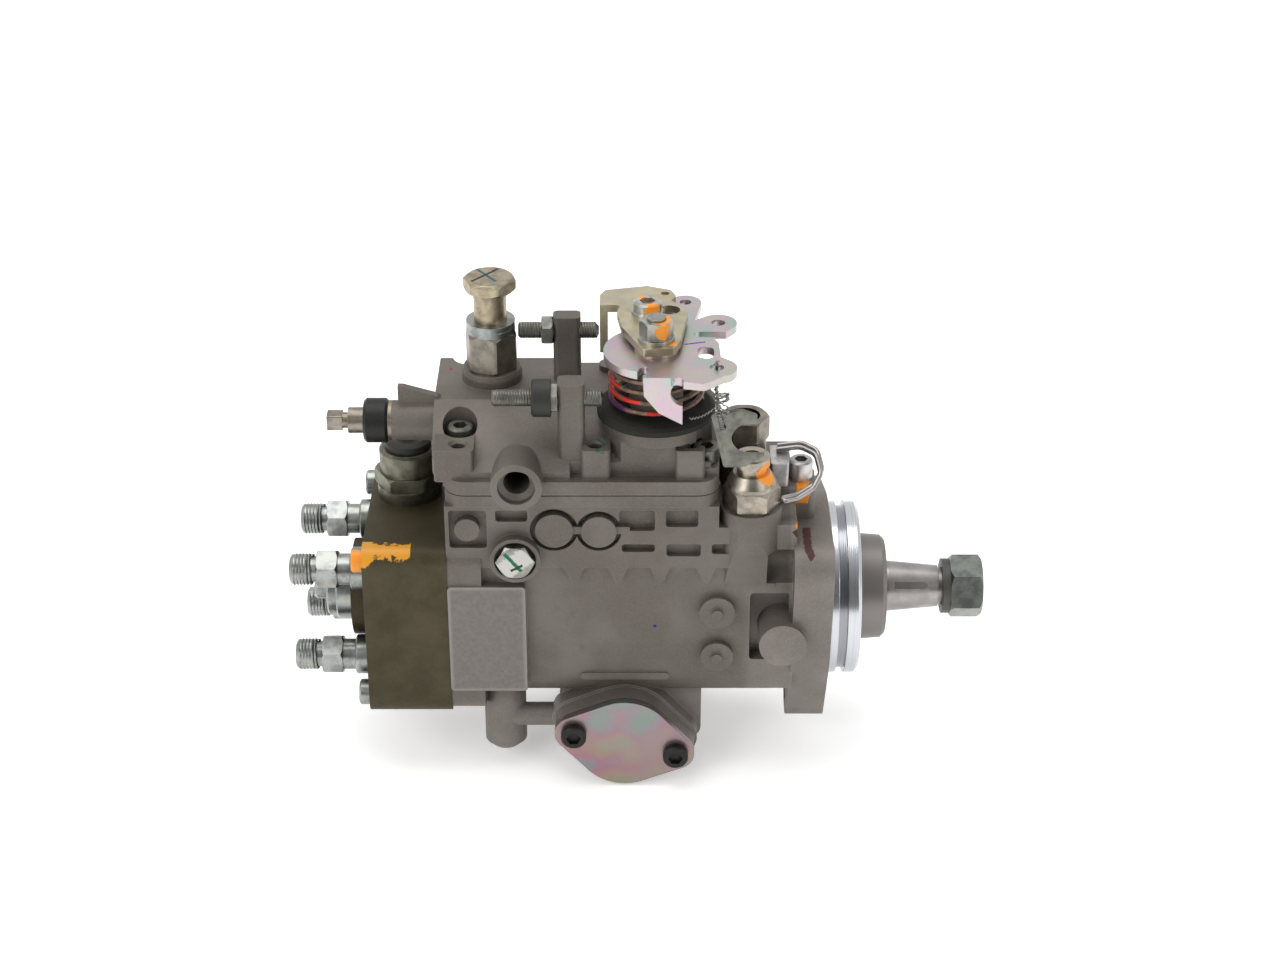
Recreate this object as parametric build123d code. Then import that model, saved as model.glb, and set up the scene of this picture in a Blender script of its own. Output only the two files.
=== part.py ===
from build123d import *
import math
import os

os.makedirs("parts", exist_ok=True)

# A distributor type fuel injection pump for a four cylinder diesel engine, in millimetres.
# +X runs out along the drive shaft, +Z is up and -Y is the side of the levers.
# The origin is the centre of the mounting pilot, in the face of the flange.

# Fits
running = 0.04
slack = 0.3
thread_gap = 0.05
gasket_thickness = 0.4

# Mounting end
pilot_radius = 34.0
pilot_length = 11.9
groove_radius = 32.15
groove_start = 3.3
groove_width = 3.4
hub_radius = 21.0
hub_length = 11.0
flange_thickness = 15.0
flange_radius = 38.0
bolt_circle_radius = 45.0
bolt_lobe_radius = 9.5
bolt_hole_radius = 4.5
bolt_angles = (50, 170, 290)
bolt_relief_radius = 7.5
bolt_relief_depth = 10.0

# Drive shaft
shaft_radius = 10.0
shaft_shoulder = pilot_length + hub_length + 1.6
cone_end = 44.2
cone_end_radius = 8.2
thread_radius = 7.0
thread_end = 60.5
key_width = 3.0
key_depth = 1.4
key_turn = 58
washer_start = 45.7
washer_radius = 10.8
washer_thickness = 3.1
nut_flats = 22.0
nut_end = 61.3
nut_turn = -17
bush_radius = 12.5
bush_end = 11.0
seal_radius = 15.0
seal_start = 14.0
seal_end = 21.0

# Main casting
head_face = -146.0
bore_radius = 30.5
pump_end = -38.0
pump_plate = 2.5
bore_end = pump_end + pump_plate
body_half = 33.0
body_bottom = -33.0
body_round = 14.0
body_top = 56.1
low_top = 47.0
wall = 5.0
chamber_start = -134.0
chamber_end = -48.0
chamber_half = 28.0
joint_top = 61.0
joint_half = body_half + 3.0
joint_right = -43.5
joint_round = 8.0
head_half = 36.7
head_round = 6.0
head_flange_end = -133.0
head_flange_bottom = -35.5

# Relief on the near wall, each height measured from the wall
panel_proud = 2.0
boss_proud = 3.0
pad_proud = 4.0
plug_boss_proud = 6.0
round_pad_proud = 10.0
pocket_depth = 1.0
# Round bosses: centre X, centre Z and radius
disc_bosses = ((-105.2, 46.0, 7.1), (-88.4, 45.5, 6.6))
disc_moat = 1.9
disc_bridge = 3.0
corner_boss = (-137.7, 46.4, 4.7)
nub_bosses = ((-43.5, 9.7, 6.8), (-43.5, -10.2, 6.3))
nub_radius = 2.0
nub_height = 1.2
plug_boss_radius = 9.4
plug_recess_radius = 7.9
plug_recess_depth = 2.6
round_pad_radius = 9.0
round_pad_x = -18.7
round_pad_z = -0.5
# Pockets in the rib field: X from and to, Z from and to
pockets = (
    (-80.8, -67.4, 45.6, 54.4),
    (-63.4, -51.2, 47.3, 54.4),
    (-79.9, -67.4, 36.4, 39.8),
    (-63.1, -50.1, 34.5, 39.8),
    (-46.0, -38.0, 35.5, 39.9),
    (-127.0, -115.0, 49.6, 54.4),
    (-144.5, -130.4, 38.2, 54.4),
)
pocket_round = 1.2
rib_bottom = 29.4
rib_tip = 23.2
ribs = (-97.8, -81.3, -65.4, -48.0)
rib_foot = 3.8
rib_point = 1.2
long_rib_x = (-95.9, -61.8)
long_rib_z = -20.3
long_rib_width = 3.0
long_rib_round = 1.4
long_rib_proud = 1.0
pad_x = -116.4
pad_z = (-25.0, 22.0)
pad_round = 1.5
nook_x = (-31.0, -16.0)
nook_z = (-13.0, 17.0)
nook_depth = 7.0
leg_x = -126.0
leg_y = -24.0
leg_radius = 8.2
leg_bottom = -57.2
stub_radius = 4.6
stub_y = -27.0
stub_z = -42.4
shelf_drop = 12.0

# Distributor head
head_thickness = 32.0
spigot_length = 8.0
seal_ring_radius = 1.0
head_screw_place = 30.0
head_screw_head_radius = 5.0
head_screw_head_height = 4.2
screw_radius = 3.0
centre_boss_radius = 19.0
centre_boss_end = -185.3
plug_radius = 11.65
plug_collar_radius = 12.8
plug_collar_end = -192.0
plug_reach = 10.5
plug_end = centre_boss_end - plug_reach
plug_thread_radius = 9.0
bleed_flats = 10.0
bleed_height = 5.3
bleed_crown = 4.2
bleed_thread_length = 8.5
barrel_radius = 11.0
barrel_length = 34.0
plug_barrel_gap = 3.3
groove_place = 3.0
spigot_radius = bore_radius - thread_gap
barrel_nose_radius = 14.0
barrel_nose_end = -128.0
plunger_radius = 5.0
plunger_end = -168.0
outlet_place = 19.4
outlet_thread_radius = 6.0
outlet_tip = -207.4
outlet_tip_radius = 5.9
outlet_tip_length = 7.6
outlet_neck_radius = 5.0
outlet_neck_end = -197.0
outlet_flats = 14.0
outlet_hex_end = -188.9
outlet_ring_radius = 7.75
outlet_ring_start = -184.0
outlet_depth = 20.0
outlet_bore_radius = 1.5

# Fuel shut-off on the head
shut_off_x = -163.0
shut_off_y = 11.5
shut_off_radius = 12.5
shut_off_flats = 24.0
shut_off_hex_bottom = 41.6
shut_off_hex_top = 47.6
shut_off_drum_radius = 11.3
shut_off_drum_top = 57.0
shut_off_cap_radius = 9.0
shut_off_cap_top = 61.0
terminal_radius = 2.2
terminal_top = 66.0
shut_off_thread_radius = 8.0
shut_off_thread_bottom = 29.0
armature_radius = 4.0
armature_bottom = 27.8
armature_top = 43.0
armature_room_top = 50.0

# Timing device below the drive
timing_x = -79.0
timing_z = -47.0
timing_radius = 13.0
timing_wall = 3.6
timing_half = 41.0
timing_plate_thickness = 3.0
timing_plate_radius = 19.0
timing_plate_z = -44.9
timing_lobe_radius = 7.4
timing_screws = ((-98.7, -40.4), (-59.2, -49.7))
timing_box_right = -49.0
timing_web_half = 26.0
timing_web_round = 6.0
timing_step = 1.2
timing_step_half = 33.0
piston_near = -22.0
piston_far = 14.0
piston_stub_radius = 4.0
timing_slot_half_width = 5.5
timing_slot_half_length = 10.5
pin_stem_radius = 3.0
pin_ball_radius = 4.0
timing_tilt = -5.0
timing_reach = 47.0
piston_hole_y = timing_reach * math.sin(math.radians(timing_tilt))

# Vane pump and drive train
pump_start = -50.0
pump_room_radius = 21.5
pump_offset = 1.2
rotor_radius = 19.5
vane_thickness = 2.4
vane_depth = 7.0
gear_start = -60.0
gear_width = 6.0
gear_module = 1.5
drive_teeth = 37
governor_teeth = 23
gear_backlash = 0.5
yoke_radius = 16.0
yoke_start = -66.0
yoke_end = -62.0
claw_reach = 12.0
claw_angle = 52.0
claw_inner = 9.0
disc_start = -85.5
disc_end = -67.0
cam_radius = 27.5
cam_start = -98.0
cam_end = -90.0
lobe_height = 2.2
lobe_count = 4
roller_radius = 5.0
roller_length = 9.0
roller_place = 24.5
roller_x = cam_end + lobe_height + slack + roller_radius
ring_start = -84.0
ring_end = -74.0
ring_bore = 18.0
bridge_thickness = 3.0
bridge_start = -103.0
plunger_spring_place = 22.0
plunger_spring_radius = 4.2
sleeve_radius = 10.0
sleeve_groove_radius = 6.3
sleeve_length = 12.0
sleeve_groove = 5.4

# Governor
governor_z = (drive_teeth + governor_teeth) * gear_module / 2
governor_shaft_radius = 3.0
governor_shaft_start = -105.0
governor_shaft_end = -42.0
cage_radius = 14.0
cage_start = -80.0
pusher_tip = -117.2
pusher_end = -84.0
pusher_radius = 5.5
pusher_flange_radius = 6.6
pivot_x = -119.8
pivot_z = 34.8
pivot_pin_radius = 2.5
pivot_tube_radius = 4.5
pivot_pin_reach = 15.0
lever_plate = 4.4
lever_half_width = 6.0
lever_top = 65.0
lever_spring_z = 62.0
lever_ball_z = 9.0
lever_ball_radius = 2.2
lever_tube_half = 23.0
governor_spring_y = -12.0
governor_spring_radius = 4.0
governor_spring_wire = 0.6

# Governor cover
cover_base_top = 67.0
cover_left = -150.3
cover_right = -46.0
cover_top = 87.0
cover_low_top = 83.4
cover_step = -103.0
cover_ridge_near = -8.0
cover_ridge_far = 27.0
cover_eave = 70.0
cover_half = joint_half - 2.0
cavity_start = -130.0
cavity_end = -50.0
cavity_near = -21.0
cavity_top = 80.0
tapped_holes = (-140.3, -89.4, -54.5)
tapped_y = -28.0
tapped_top = 79.0
pillar_half = 5.4
pillar_round = 1.6
screw_pillar = (-149.4, -134.4)
tapped_radius = 2.5
tapped_mouth = 3.8
tapped_depth = 12.0
cover_screws = ((-140.2, -17.0), (-48.3, -23.4), (-139.0, 28.0), (-50.5, 29.0))
cover_screw_seats = (75.0, 70.0, 70.0, 70.0)
cover_screw_head_radius = 4.8
cover_screw_head_height = 6.0
return_x = -118.6
return_z = 67.6
return_face = -41.5
return_outer = 9.6
return_counterbore = 7.0
return_bore = 4.9
collar_x = -129.4
collar_y = 10.8
collar_radius = 11.5
collar_top = 92.0
full_load_y = -6.0
full_load_z = 77.2
full_load_boss_radius = 7.65
full_load_boss_end = -166.4
ledge_x = (-99.0, -40.0)
ledge_back = -30.5
ledge_top = 81.0
return_outer_length = 16.0
fin_outline = ((-163.9, 84.0), (-163.9, 92.0), (-162.0, 92.0), (-149.0, 88.2), (-145.0, 84.0), (-145.0, 80.0))
fin_width = 3.0
screw_pocket_gap = 1.7
pier_x = (-103.3, -93.4)
pier_y = (-30.0, -21.0)
pier_top = 103.8
post_x = (-105.8, -95.4)
post_y = (7.0, 14.0)
post_top = 113.5
lug_x = -82.3
lug_y = 24.5

# Overflow stack
overflow_flats = 18.0
adapter_turn = 42
bolt_turn = 51
overflow_hex_top = 107.0
overflow_washer_radius = 9.25
overflow_washer = 2.25
overflow_neck_radius = 6.2
overflow_neck_top = 124.0
overflow_head_top = 129.0
overflow_thread_radius = 7.0
bolt_thread_radius = 5.0

# Adjusting screws
full_load_tip = -191.1
full_load_square = 6.05
full_load_square_length = 5.8
full_load_neck_end = -183.1
full_load_radius = 4.95
full_load_thread_radius = 4.0
full_load_inner_end = -128.0
nut_collar_radius = 8.5
nut_collar_start = -177.1
nut_collar_end = -167.8
idle_y = 10.5
idle_z = 107.0
idle_start = -119.0
idle_end = -88.5
idle_nut_flats = 10.0
idle_nut_start = -110.2
speed_y = -26.0
speed_z = 97.0
speed_start = -127.4
speed_end = -86.3
speed_cap_radius = 7.1
speed_cap_start = -112.9
speed_cap_end = -105.7

# Throttle levers
throttle_x = -67.0
throttle_y = -16.6
throttle_radius = 6.0
throttle_bottom = 70.0
crank_pin_radius = 1.5
crank_radius = 4.0
crank_angle = 135
crank_pin_bottom = 61.0
tower_radius = 19.0
bearing_radius = 10.0
bearing_top = 106.0
spring_seat_radius = 22.0
spring_seat_top = 90.0
return_spring_radius = 16.9
return_spring_wire = 0.95
return_spring_turns = 4
plate_thickness = 3.0
lower_plate_bottom = 109.0
upper_plate_bottom = 113.5
lever_nut_flats = 11.0
lever_nut_top = 124.5
lever_screw_x = -70.2
lever_screw_y = 6.0

# Lobes of the lower lever: X, Y, outer radius and hole radius
lower_lobes = (
    (-43.6, 6.5, 7.0, 2.6),
    (-45.1, -30.8, 7.4, 2.6),
    (-55.6, 24.5, 6.0, 2.2),
    (-70.2, 6.0, 6.6, 3.05),
)
lower_disc_radius = 19.5
# Cut-outs in the lower lever, each the hull of circles given as X, Y and radius
lower_cuts = (
    ((-50.6, -3.6, 2.2), (-34.0, -4.2, 3.0)),
    ((-48.8, -16.9, 3.0), (-48.8, -20.9, 3.0)),
    ((-71.5, -32.2, 1.6), (-74.0, -40.0, 1.6)),
    ((-59.6, -41.6, 2.2), (-59.6, -45.0, 2.2)),
)
# Added round the lower lever's disc: the root of the leg, the near apron and the neck of the hook hole
lower_webs = (
    ((-69.5, -36.9, 2.5), (-60.0, -36.9, 2.5), (-65.0, -28.0, 6.0)),
    ((-59.0, -39.6, 2.4), (-50.6, -41.0, 2.8), (-46.0, -34.0, 5.0), (-62.0, -28.0, 6.0)),
    ((-49.0, -12.0, 5.2), (-49.0, -23.0, 5.6), (-60.0, -20.0, 6.0)),
)
leg_face = -39.4
leg_thickness = 2.6
leg_outline = (
    (-72.0, 112.0),
    (-71.6, 104.5),
    (-66.2, 97.6),
    (-57.6, 92.9),
    (-57.6, 112.0),
)
leg_opening = (-57.0, 105.6, 5.0)

# Outline of the upper lever, its holes with their radii, and its bent stop tab
upper_outline = (
    (-88.2, 12.5),
    (-88.2, 21.4),
    (-86.2, 25.8),
    (-70.1, 29.5),
    (-61.2, 25.8),
    (-59.3, 20.5),
    (-61.3, 16.9),
    (-55.0, 6.4),
    (-58.0, -17.4),
    (-60.3, -24.0),
    (-71.9, -25.7),
    (-79.7, -6.5),
    (-81.6, 6.4),
    (-80.5, 12.5),
)
upper_holes = ((-63.4, 22.8, 1.6), (-61.9, 8.2, 4.0), (lever_screw_x, lever_screw_y, 3.05))
stop_tab_bottom = 96.5

# Fuel inlet side
valve_x = -31.3
valve_y = -27.0
valve_seat = 53.0
valve_boss_radius = 11.6
tower_foot = 20.0
tower_knee = 43.0
valve_flats = 19.0
valve_hex_top = 61.5
valve_thread_radius = 8.0
inlet_x = -33.1
inlet_y = 2.0
inlet_boss_radius = 9.4
inlet_seat = 58.0
inlet_flats = 17.0
inlet_hex_bottom = 66.0
inlet_top = 75.2
inlet_bore = 6.0
inlet_thread_radius = 7.0
block_x = (-23.4, -16.5)
block_y = (-13.0, 2.0)
block_z = (52.0, 62.0)
block_screw_x = -11.5
block_screw_radius = 4.5
wire_radius = 1.0
lock_plate_thickness = 2.2
lock_plate_y = -35.55
seal_wire_radius = 0.5

# Seal plate: outline in X and Z, the bite round the valve and the wire hole
lock_outline = (
    (-47.2, 95.1),
    (-35.8, 96.4),
    (-30.2, 94.3),
    (-30.2, 91.5),
    (-27.0, 78.2),
    (-34.2, 73.4),
    (-42.2, 73.1),
)
lock_bite = (-33.0, 84.8, 6.5)
lock_hole = (-42.8, 90.0, 1.3)

# Depths of the screws and plugs in their holes
pivot_thread_radius = 6.0
pivot_flats = 13.0
timing_screw_radius = 2.5
timing_screw_depth = 12.0
timing_screw_head_radius = 4.9
timing_screw_head_height = 3.4
head_screw_depth = 11.0
cover_screw_depth = 9.0
valve_depth = 14.0
inlet_depth = 11.0
block_screw_depth = 9.0
block_screw_y = -5.0

BASE = (Align.CENTER, Align.CENTER, Align.MIN)


def turned(*profile):
    """A piece turned about Z, from points of radius and height."""
    return revolve(Plane.XZ * make_face(Polyline(*profile, close=True)), Axis.Z)


def upright(piece, x, y, z=0.0):
    return Pos(x, y, z) * piece


def to_right(piece, x, y=0.0, z=0.0):
    """Lay a piece down so that its Z points along +X."""
    return Pos(x, y, z) * Rot(0, 90, 0) * piece


def to_left(piece, x, y=0.0, z=0.0):
    return Pos(x, y, z) * Rot(0, -90, 0) * piece


def to_far(piece, x, y, z):
    return Pos(x, y, z) * Rot(-90, 0, 0) * piece


def to_near(piece, x, y, z):
    return Pos(x, y, z) * Rot(90, 0, 0) * piece


def rod(radius, length):
    return Cylinder(radius, length, align=BASE)


def hex_bar(flats, length, turn=0.0):
    return extrude(Rot(0, 0, turn) * RegularPolygon(flats / 2, 6, major_radius=False), length)


def block(x0, x1, y0, y1, z0, z1):
    return Pos(x0, y0, z0) * Box(x1 - x0, y1 - y0, z1 - z0, align=(Align.MIN,) * 3)


def tube(outer, inner, length):
    return rod(outer, length) - rod(inner, length)


def rounded_plate(x0, x1, y0, y1, corner, z0, z1):
    outline = Pos((x0 + x1) / 2, (y0 + y1) / 2) * RectangleRounded(x1 - x0, y1 - y0, corner)
    return Pos(0, 0, z0) * extrude(outline, z1 - z0)


def coil(radius, wire, turns, length):
    """A coil spring about Z whose wire stays between 0 and its length."""
    path = Helix(pitch=(length - 2 * wire) / turns, height=length - 2 * wire, radius=radius)
    section = Plane(path @ 0, z_dir=path % 0) * Circle(wire)
    return Pos(0, 0, wire) * sweep(section, path=path, is_frenet=True)

def cap_screw(head_radius, head_height, shank_radius, length):
    """A screw with its head above Z=0, a six sided socket and its shank below."""
    screw = turned(
        (0, -length),
        (shank_radius - 0.5, -length),
        (shank_radius, -length + 0.5),
        (shank_radius, 0),
        (head_radius, 0),
        (head_radius, head_height - 0.6),
        (head_radius - 0.6, head_height),
        (0, head_height),
    )
    socket = hex_bar(head_radius, head_height / 2)
    return screw - Pos(0, 0, head_height / 2) * socket


def polar(radius, degrees):
    return radius * math.cos(math.radians(degrees)), radius * math.sin(math.radians(degrees))


def gear(teeth, width, bore):
    """A spur gear about Z, with one tooth pointing along +X."""
    pitch = teeth * gear_module / 2
    tip = pitch + gear_module
    root = pitch - 1.25 * gear_module
    half_tooth = (math.pi * gear_module / 2 - gear_backlash) / 2
    root_half = half_tooth * 1.35
    tip_half = half_tooth * 0.5
    tooth = make_face(
        Polyline(
            (root - gear_module / 2, root_half),
            (tip, tip_half),
            (tip, -tip_half),
            (root - gear_module / 2, -root_half),
            close=True,
        )
    )
    outline = Circle(root)
    for index in range(teeth):
        outline += Rot(0, 0, index * 360 / teeth) * tooth
    return extrude(outline - Circle(bore), width)


def bolt_places():
    """Y and Z of the flange's bolt holes, by their angles from straight up."""
    places = []
    for angle in bolt_angles:
        up, near = polar(bolt_circle_radius, angle)
        places.append((-near, up))
    return places


def corners(reach):
    return [(y, z) for y in (-reach, reach) for z in (-reach, reach)]


def hull_of(circles):
    """The taut outline round a set of circles given as X, Y and radius."""
    edges = []
    for x, y, radius in circles:
        edges += (Pos(x, y) * Circle(radius)).edges()
    return make_hull(edges)


def timing_outline(grow=0.0):
    circles = [(timing_x, timing_plate_z, timing_plate_radius + grow)]
    for x, z in timing_screws:
        circles.append((x, z, timing_lobe_radius + grow))
    return hull_of(circles)


def flange():
    circles = [(0, 0, flange_radius)]
    for y, z in bolt_places():
        circles.append((y, z, bolt_lobe_radius))
    plate = extrude(Plane.YZ.offset(-flange_thickness) * hull_of(circles), flange_thickness)
    for y, z in bolt_places():
        plate -= to_right(rod(bolt_hole_radius, 2 * flange_thickness), -1.5 * flange_thickness, y, z)
    return plate


def pilot_and_hub():
    groove_end = groove_start + groove_width
    nose = hub_length + pilot_length
    return to_right(
        turned(
            (0, 0),
            (pilot_radius, 0),
            (pilot_radius, groove_start),
            (groove_radius, groove_start),
            (groove_radius, groove_end),
            (pilot_radius, groove_end),
            (pilot_radius, pilot_length - 1.2),
            (pilot_radius - 1.2, pilot_length),
            (hub_radius, pilot_length),
            (hub_radius - 0.7, nose - 1.5),
            (hub_radius - 2.2, nose),
            (0, nose),
        ),
        0,
    )


def body_section(top):
    height = top - body_bottom
    outline = Pos(0, body_bottom + height / 2) * Rectangle(2 * body_half, height)
    return fillet(outline.vertices().group_by(Axis.Y)[0], body_round)


def proud_of_wall(outline, proud):
    """An outline in X and Z that stands proud of the near wall."""
    return extrude(Plane.XZ.offset(body_half - 1) * outline, proud + 1)


def window(x0, x1, z0, z1, corner):
    return Pos((x0 + x1) / 2, (z0 + z1) / 2) * RectangleRounded(x1 - x0, z1 - z0, corner)


def rib_field():
    """The low raised field of ribs along the top of the near wall."""
    field = Polyline(
        (head_face, rib_bottom),
        (valve_x, rib_bottom),
        (valve_x, low_top),
        (joint_right, low_top),
        (joint_right, body_top),
        (head_face, body_top),
        close=True,
    )
    outline = make_face(field)
    for x in ribs:
        outline += make_face(
            Polyline(
                (x - rib_foot, rib_bottom),
                (x - rib_point, rib_tip),
                (x + rib_point, rib_tip),
                (x + rib_foot, rib_bottom),
                close=True,
            )
        )
    return proud_of_wall(outline, panel_proud)


def rib_pockets():
    """The pockets sunk between the ribs, and the moats round the two discs."""
    sunk = Sketch()
    for place in pockets:
        sunk += window(*place, pocket_round)
    for x, z, radius in disc_bosses:
        sunk += Pos(x, z) * Circle(radius + disc_moat)
    left, right = disc_bosses[0], disc_bosses[1]
    middle = (left[1] + right[1]) / 2
    sunk -= window(
        left[0], right[0] + right[2] + wall, middle - disc_bridge / 2, middle + disc_bridge / 2, 0.5
    )
    return extrude(Plane.XZ.offset(body_half - pocket_depth) * sunk, pocket_depth + panel_proud + 1)


def near_relief():
    """The bosses and pads cast proud of the near wall of the housing."""
    half = long_rib_width / 2
    rib = window(*long_rib_x, long_rib_z - half, long_rib_z + half, long_rib_round)
    relief = proud_of_wall(rib, long_rib_proud)
    for x, z, radius in (*disc_bosses, corner_boss, *nub_bosses):
        boss = rod(radius, pocket_depth + 1 + boss_proud)
        relief += to_near(boss, x, -body_half + pocket_depth + 1, z)
    for x, z, radius in nub_bosses:
        relief += to_near(rod(nub_radius, boss_proud + nub_height), x, -body_half, z)
    relief += proud_of_wall(window(head_face, pad_x, *pad_z, pad_round), pad_proud)
    relief += to_near(rod(plug_boss_radius, plug_boss_proud + 1), pivot_x, -body_half + 1, pivot_z)
    pad = rod(round_pad_radius, nook_depth + 1 + round_pad_proud)
    relief += to_near(pad, round_pad_x, -body_half + nook_depth + 1, round_pad_z)
    return relief


def timing_housing():
    """The cross bore housing below the drive, with a deep flange at each end."""
    reach = timing_half - gasket_thickness
    web = hull_of(
        (
            (timing_x, timing_z, timing_radius + timing_wall),
            (timing_screws[0][0], timing_screws[0][1], timing_web_round),
            (timing_box_right - timing_web_round, timing_z - 2, timing_web_round),
            (timing_x - timing_plate_radius, body_bottom + body_round, timing_web_round),
            (timing_box_right - timing_web_round, body_bottom + body_round, timing_web_round),
        )
    )
    part = extrude(Plane.XZ.offset(-timing_web_half) * web, 2 * timing_web_half)
    for grow, end in ((timing_step, timing_step_half), (0, reach)):
        depth = end - timing_web_half + 1
        for start in (timing_web_half - 1, -end):
            part += extrude(Plane.XZ.offset(start) * timing_outline(grow), depth)
    return part


def valve_tower():
    """The boss below the regulating valve, which fades into the near wall."""
    near = valve_y - valve_boss_radius
    profile = Polyline(
        (0, tower_foot),
        (-body_half, tower_foot),
        (near, tower_knee),
        (near, valve_seat),
        (0, valve_seat),
        close=True,
    )
    slab = extrude(Plane.YZ.offset(valve_x - valve_boss_radius) * make_face(profile), 2 * valve_boss_radius)
    return slab & upright(rod(valve_boss_radius, valve_seat - tower_foot), valve_x, valve_y, tower_foot)


def housing():
    body = extrude(Plane.YZ.offset(head_face) * body_section(body_top), joint_right - head_face)
    body += extrude(Plane.YZ.offset(joint_right) * body_section(low_top), -flange_thickness - joint_right + 1)
    flange_height = head_half - 0.5 - head_flange_bottom
    middle = (head_half - 0.5 + head_flange_bottom) / 2
    face = Pos(0, middle) * RectangleRounded(2 * head_half - 1, flange_height, head_round)
    body += extrude(Plane.YZ.offset(head_face) * face, head_flange_end - head_face)
    body += rounded_plate(head_face, joint_right, -joint_half, joint_half, joint_round, body_top, joint_top)
    body += rib_field()
    body -= rib_pockets()
    nook = window(*nook_x, *nook_z, pad_round)
    body -= extrude(Plane.XZ.offset(body_half - nook_depth) * nook, body_half)
    body += valve_tower()
    body += near_relief()
    for y, z in bolt_places():
        relief = rod(bolt_relief_radius, bolt_relief_depth + flange_thickness)
        body -= to_right(relief, -flange_thickness - bolt_relief_depth, y, z)
    body += flange()
    body += pilot_and_hub()
    body += timing_housing()
    leg = turned((0, 0), (leg_radius - 2.5, 0), (leg_radius, 2.5), (leg_radius, 40), (0, 40))
    body += upright(leg, leg_x, leg_y, leg_bottom)
    body += to_right(rod(stub_radius, 26), leg_x, stub_y, stub_z)
    body += upright(rod(inlet_boss_radius, inlet_seat - low_top + 5), inlet_x, inlet_y, low_top - 5)
    shelf_end = block_screw_x + block_screw_radius + 1
    body += rounded_plate(
        inlet_x, shelf_end, block_y[0] - 1, block_y[1] + 1, 3.0, low_top - shelf_drop, block_z[0]
    )
    return body - housing_room()


def housing_room():
    """All that is bored, cast open or drilled in the housing."""
    room = to_right(rod(bore_radius, bore_end - head_face + 1), head_face - 1)
    room += block(chamber_start, chamber_end, -chamber_half, chamber_half, 0, joint_top + 1)
    room += to_right(rod(bush_radius, bush_end - bore_end + 2), bore_end - 1)
    room += to_right(rod(seal_radius, pilot_length + hub_length - bush_end + 1), bush_end)
    room += to_right(
        rod(governor_shaft_radius, governor_shaft_end - chamber_end + 1),
        chamber_end - 1,
        0,
        governor_z,
    )
    room += to_far(rod(timing_radius, 2 * timing_half + 2), timing_x, -timing_half - 1, timing_z)
    room += block(
        timing_x - timing_slot_half_width,
        timing_x + timing_slot_half_width,
        -timing_slot_half_length,
        timing_slot_half_length,
        timing_z,
        -bore_radius + 2,
    )
    for side in (-1, 1):
        place = to_far if side > 0 else to_near
        room += place(rod(pivot_thread_radius + thread_gap, 20), pivot_x, side * (chamber_half - 1), pivot_z)
        for x, z in timing_screws:
            room += place(
                rod(timing_screw_radius + thread_gap, 20),
                x,
                side * (timing_half - timing_screw_depth),
                z,
            )
    face = body_half + plug_boss_proud
    room += to_near(
        rod(plug_recess_radius, plug_recess_depth + 1), pivot_x, plug_recess_depth - face, pivot_z
    )
    for y, z in corners(head_screw_place):
        room += to_right(rod(screw_radius + thread_gap, head_screw_depth + 1), head_face - 1, y, z)
    for x, y in cover_screws:
        room += upright(rod(screw_radius + thread_gap, 20), x, y, joint_top - cover_screw_depth)
    room += upright(rod(valve_thread_radius + thread_gap, 20), valve_x, valve_y, valve_seat - valve_depth)
    room += upright(rod(inlet_thread_radius + thread_gap, 20), inlet_x, inlet_y, inlet_seat - inlet_depth)
    room += upright(
        rod(screw_radius + thread_gap, 20),
        block_screw_x,
        block_screw_y,
        block_z[0] - block_screw_depth,
    )
    return room


def distributor_head():
    outer = head_face - head_thickness
    face = RectangleRounded(2 * head_half, 2 * head_half, head_round)
    head = extrude(Plane.YZ.offset(outer) * face, head_thickness)
    head += to_left(rod(centre_boss_radius, outer - centre_boss_end), outer)
    head += to_right(
        turned(
            (0, 0),
            (spigot_radius, 0),
            (spigot_radius, groove_place),
            (spigot_radius - 2 * seal_ring_radius, groove_place),
            (spigot_radius - 2 * seal_ring_radius, groove_place + 2.4),
            (spigot_radius, groove_place + 2.4),
            (spigot_radius, spigot_length - 0.5),
            (spigot_radius - 0.5, spigot_length),
            (0, spigot_length),
        ),
        head_face,
    )
    head -= to_right(
        rod(barrel_radius + thread_gap, barrel_length + 2),
        head_face + spigot_length - barrel_length,
    )
    head -= to_right(rod(plug_thread_radius + thread_gap, 20), centre_boss_end - 1)
    for y, z in corners(outlet_place):
        head -= to_right(rod(outlet_thread_radius + thread_gap, outlet_depth + 1.5), outer - 1, y, z)
    for y, z in corners(head_screw_place):
        head -= to_right(rod(screw_radius + slack, head_thickness + 2), outer - 1, y, z)
    bore_top = head_half + 1
    head -= upright(
        rod(shut_off_thread_radius + thread_gap, bore_top - shut_off_thread_bottom),
        shut_off_x,
        shut_off_y,
        shut_off_thread_bottom,
    )
    head -= upright(rod(armature_radius + slack, 5), shut_off_x, shut_off_y, armature_bottom - 0.8)
    return head


def head_screws():
    screw = cap_screw(
        head_screw_head_radius,
        head_screw_head_height,
        screw_radius,
        head_thickness + head_screw_depth - 1,
    )
    outer = head_face - head_thickness
    return [to_left(screw, outer, y, z) for y, z in corners(head_screw_place)]


def head_seal():
    ring = Torus(spigot_radius - seal_ring_radius, seal_ring_radius - 0.03)
    return [to_right(ring, head_face + groove_place + 1.2)]


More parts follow.
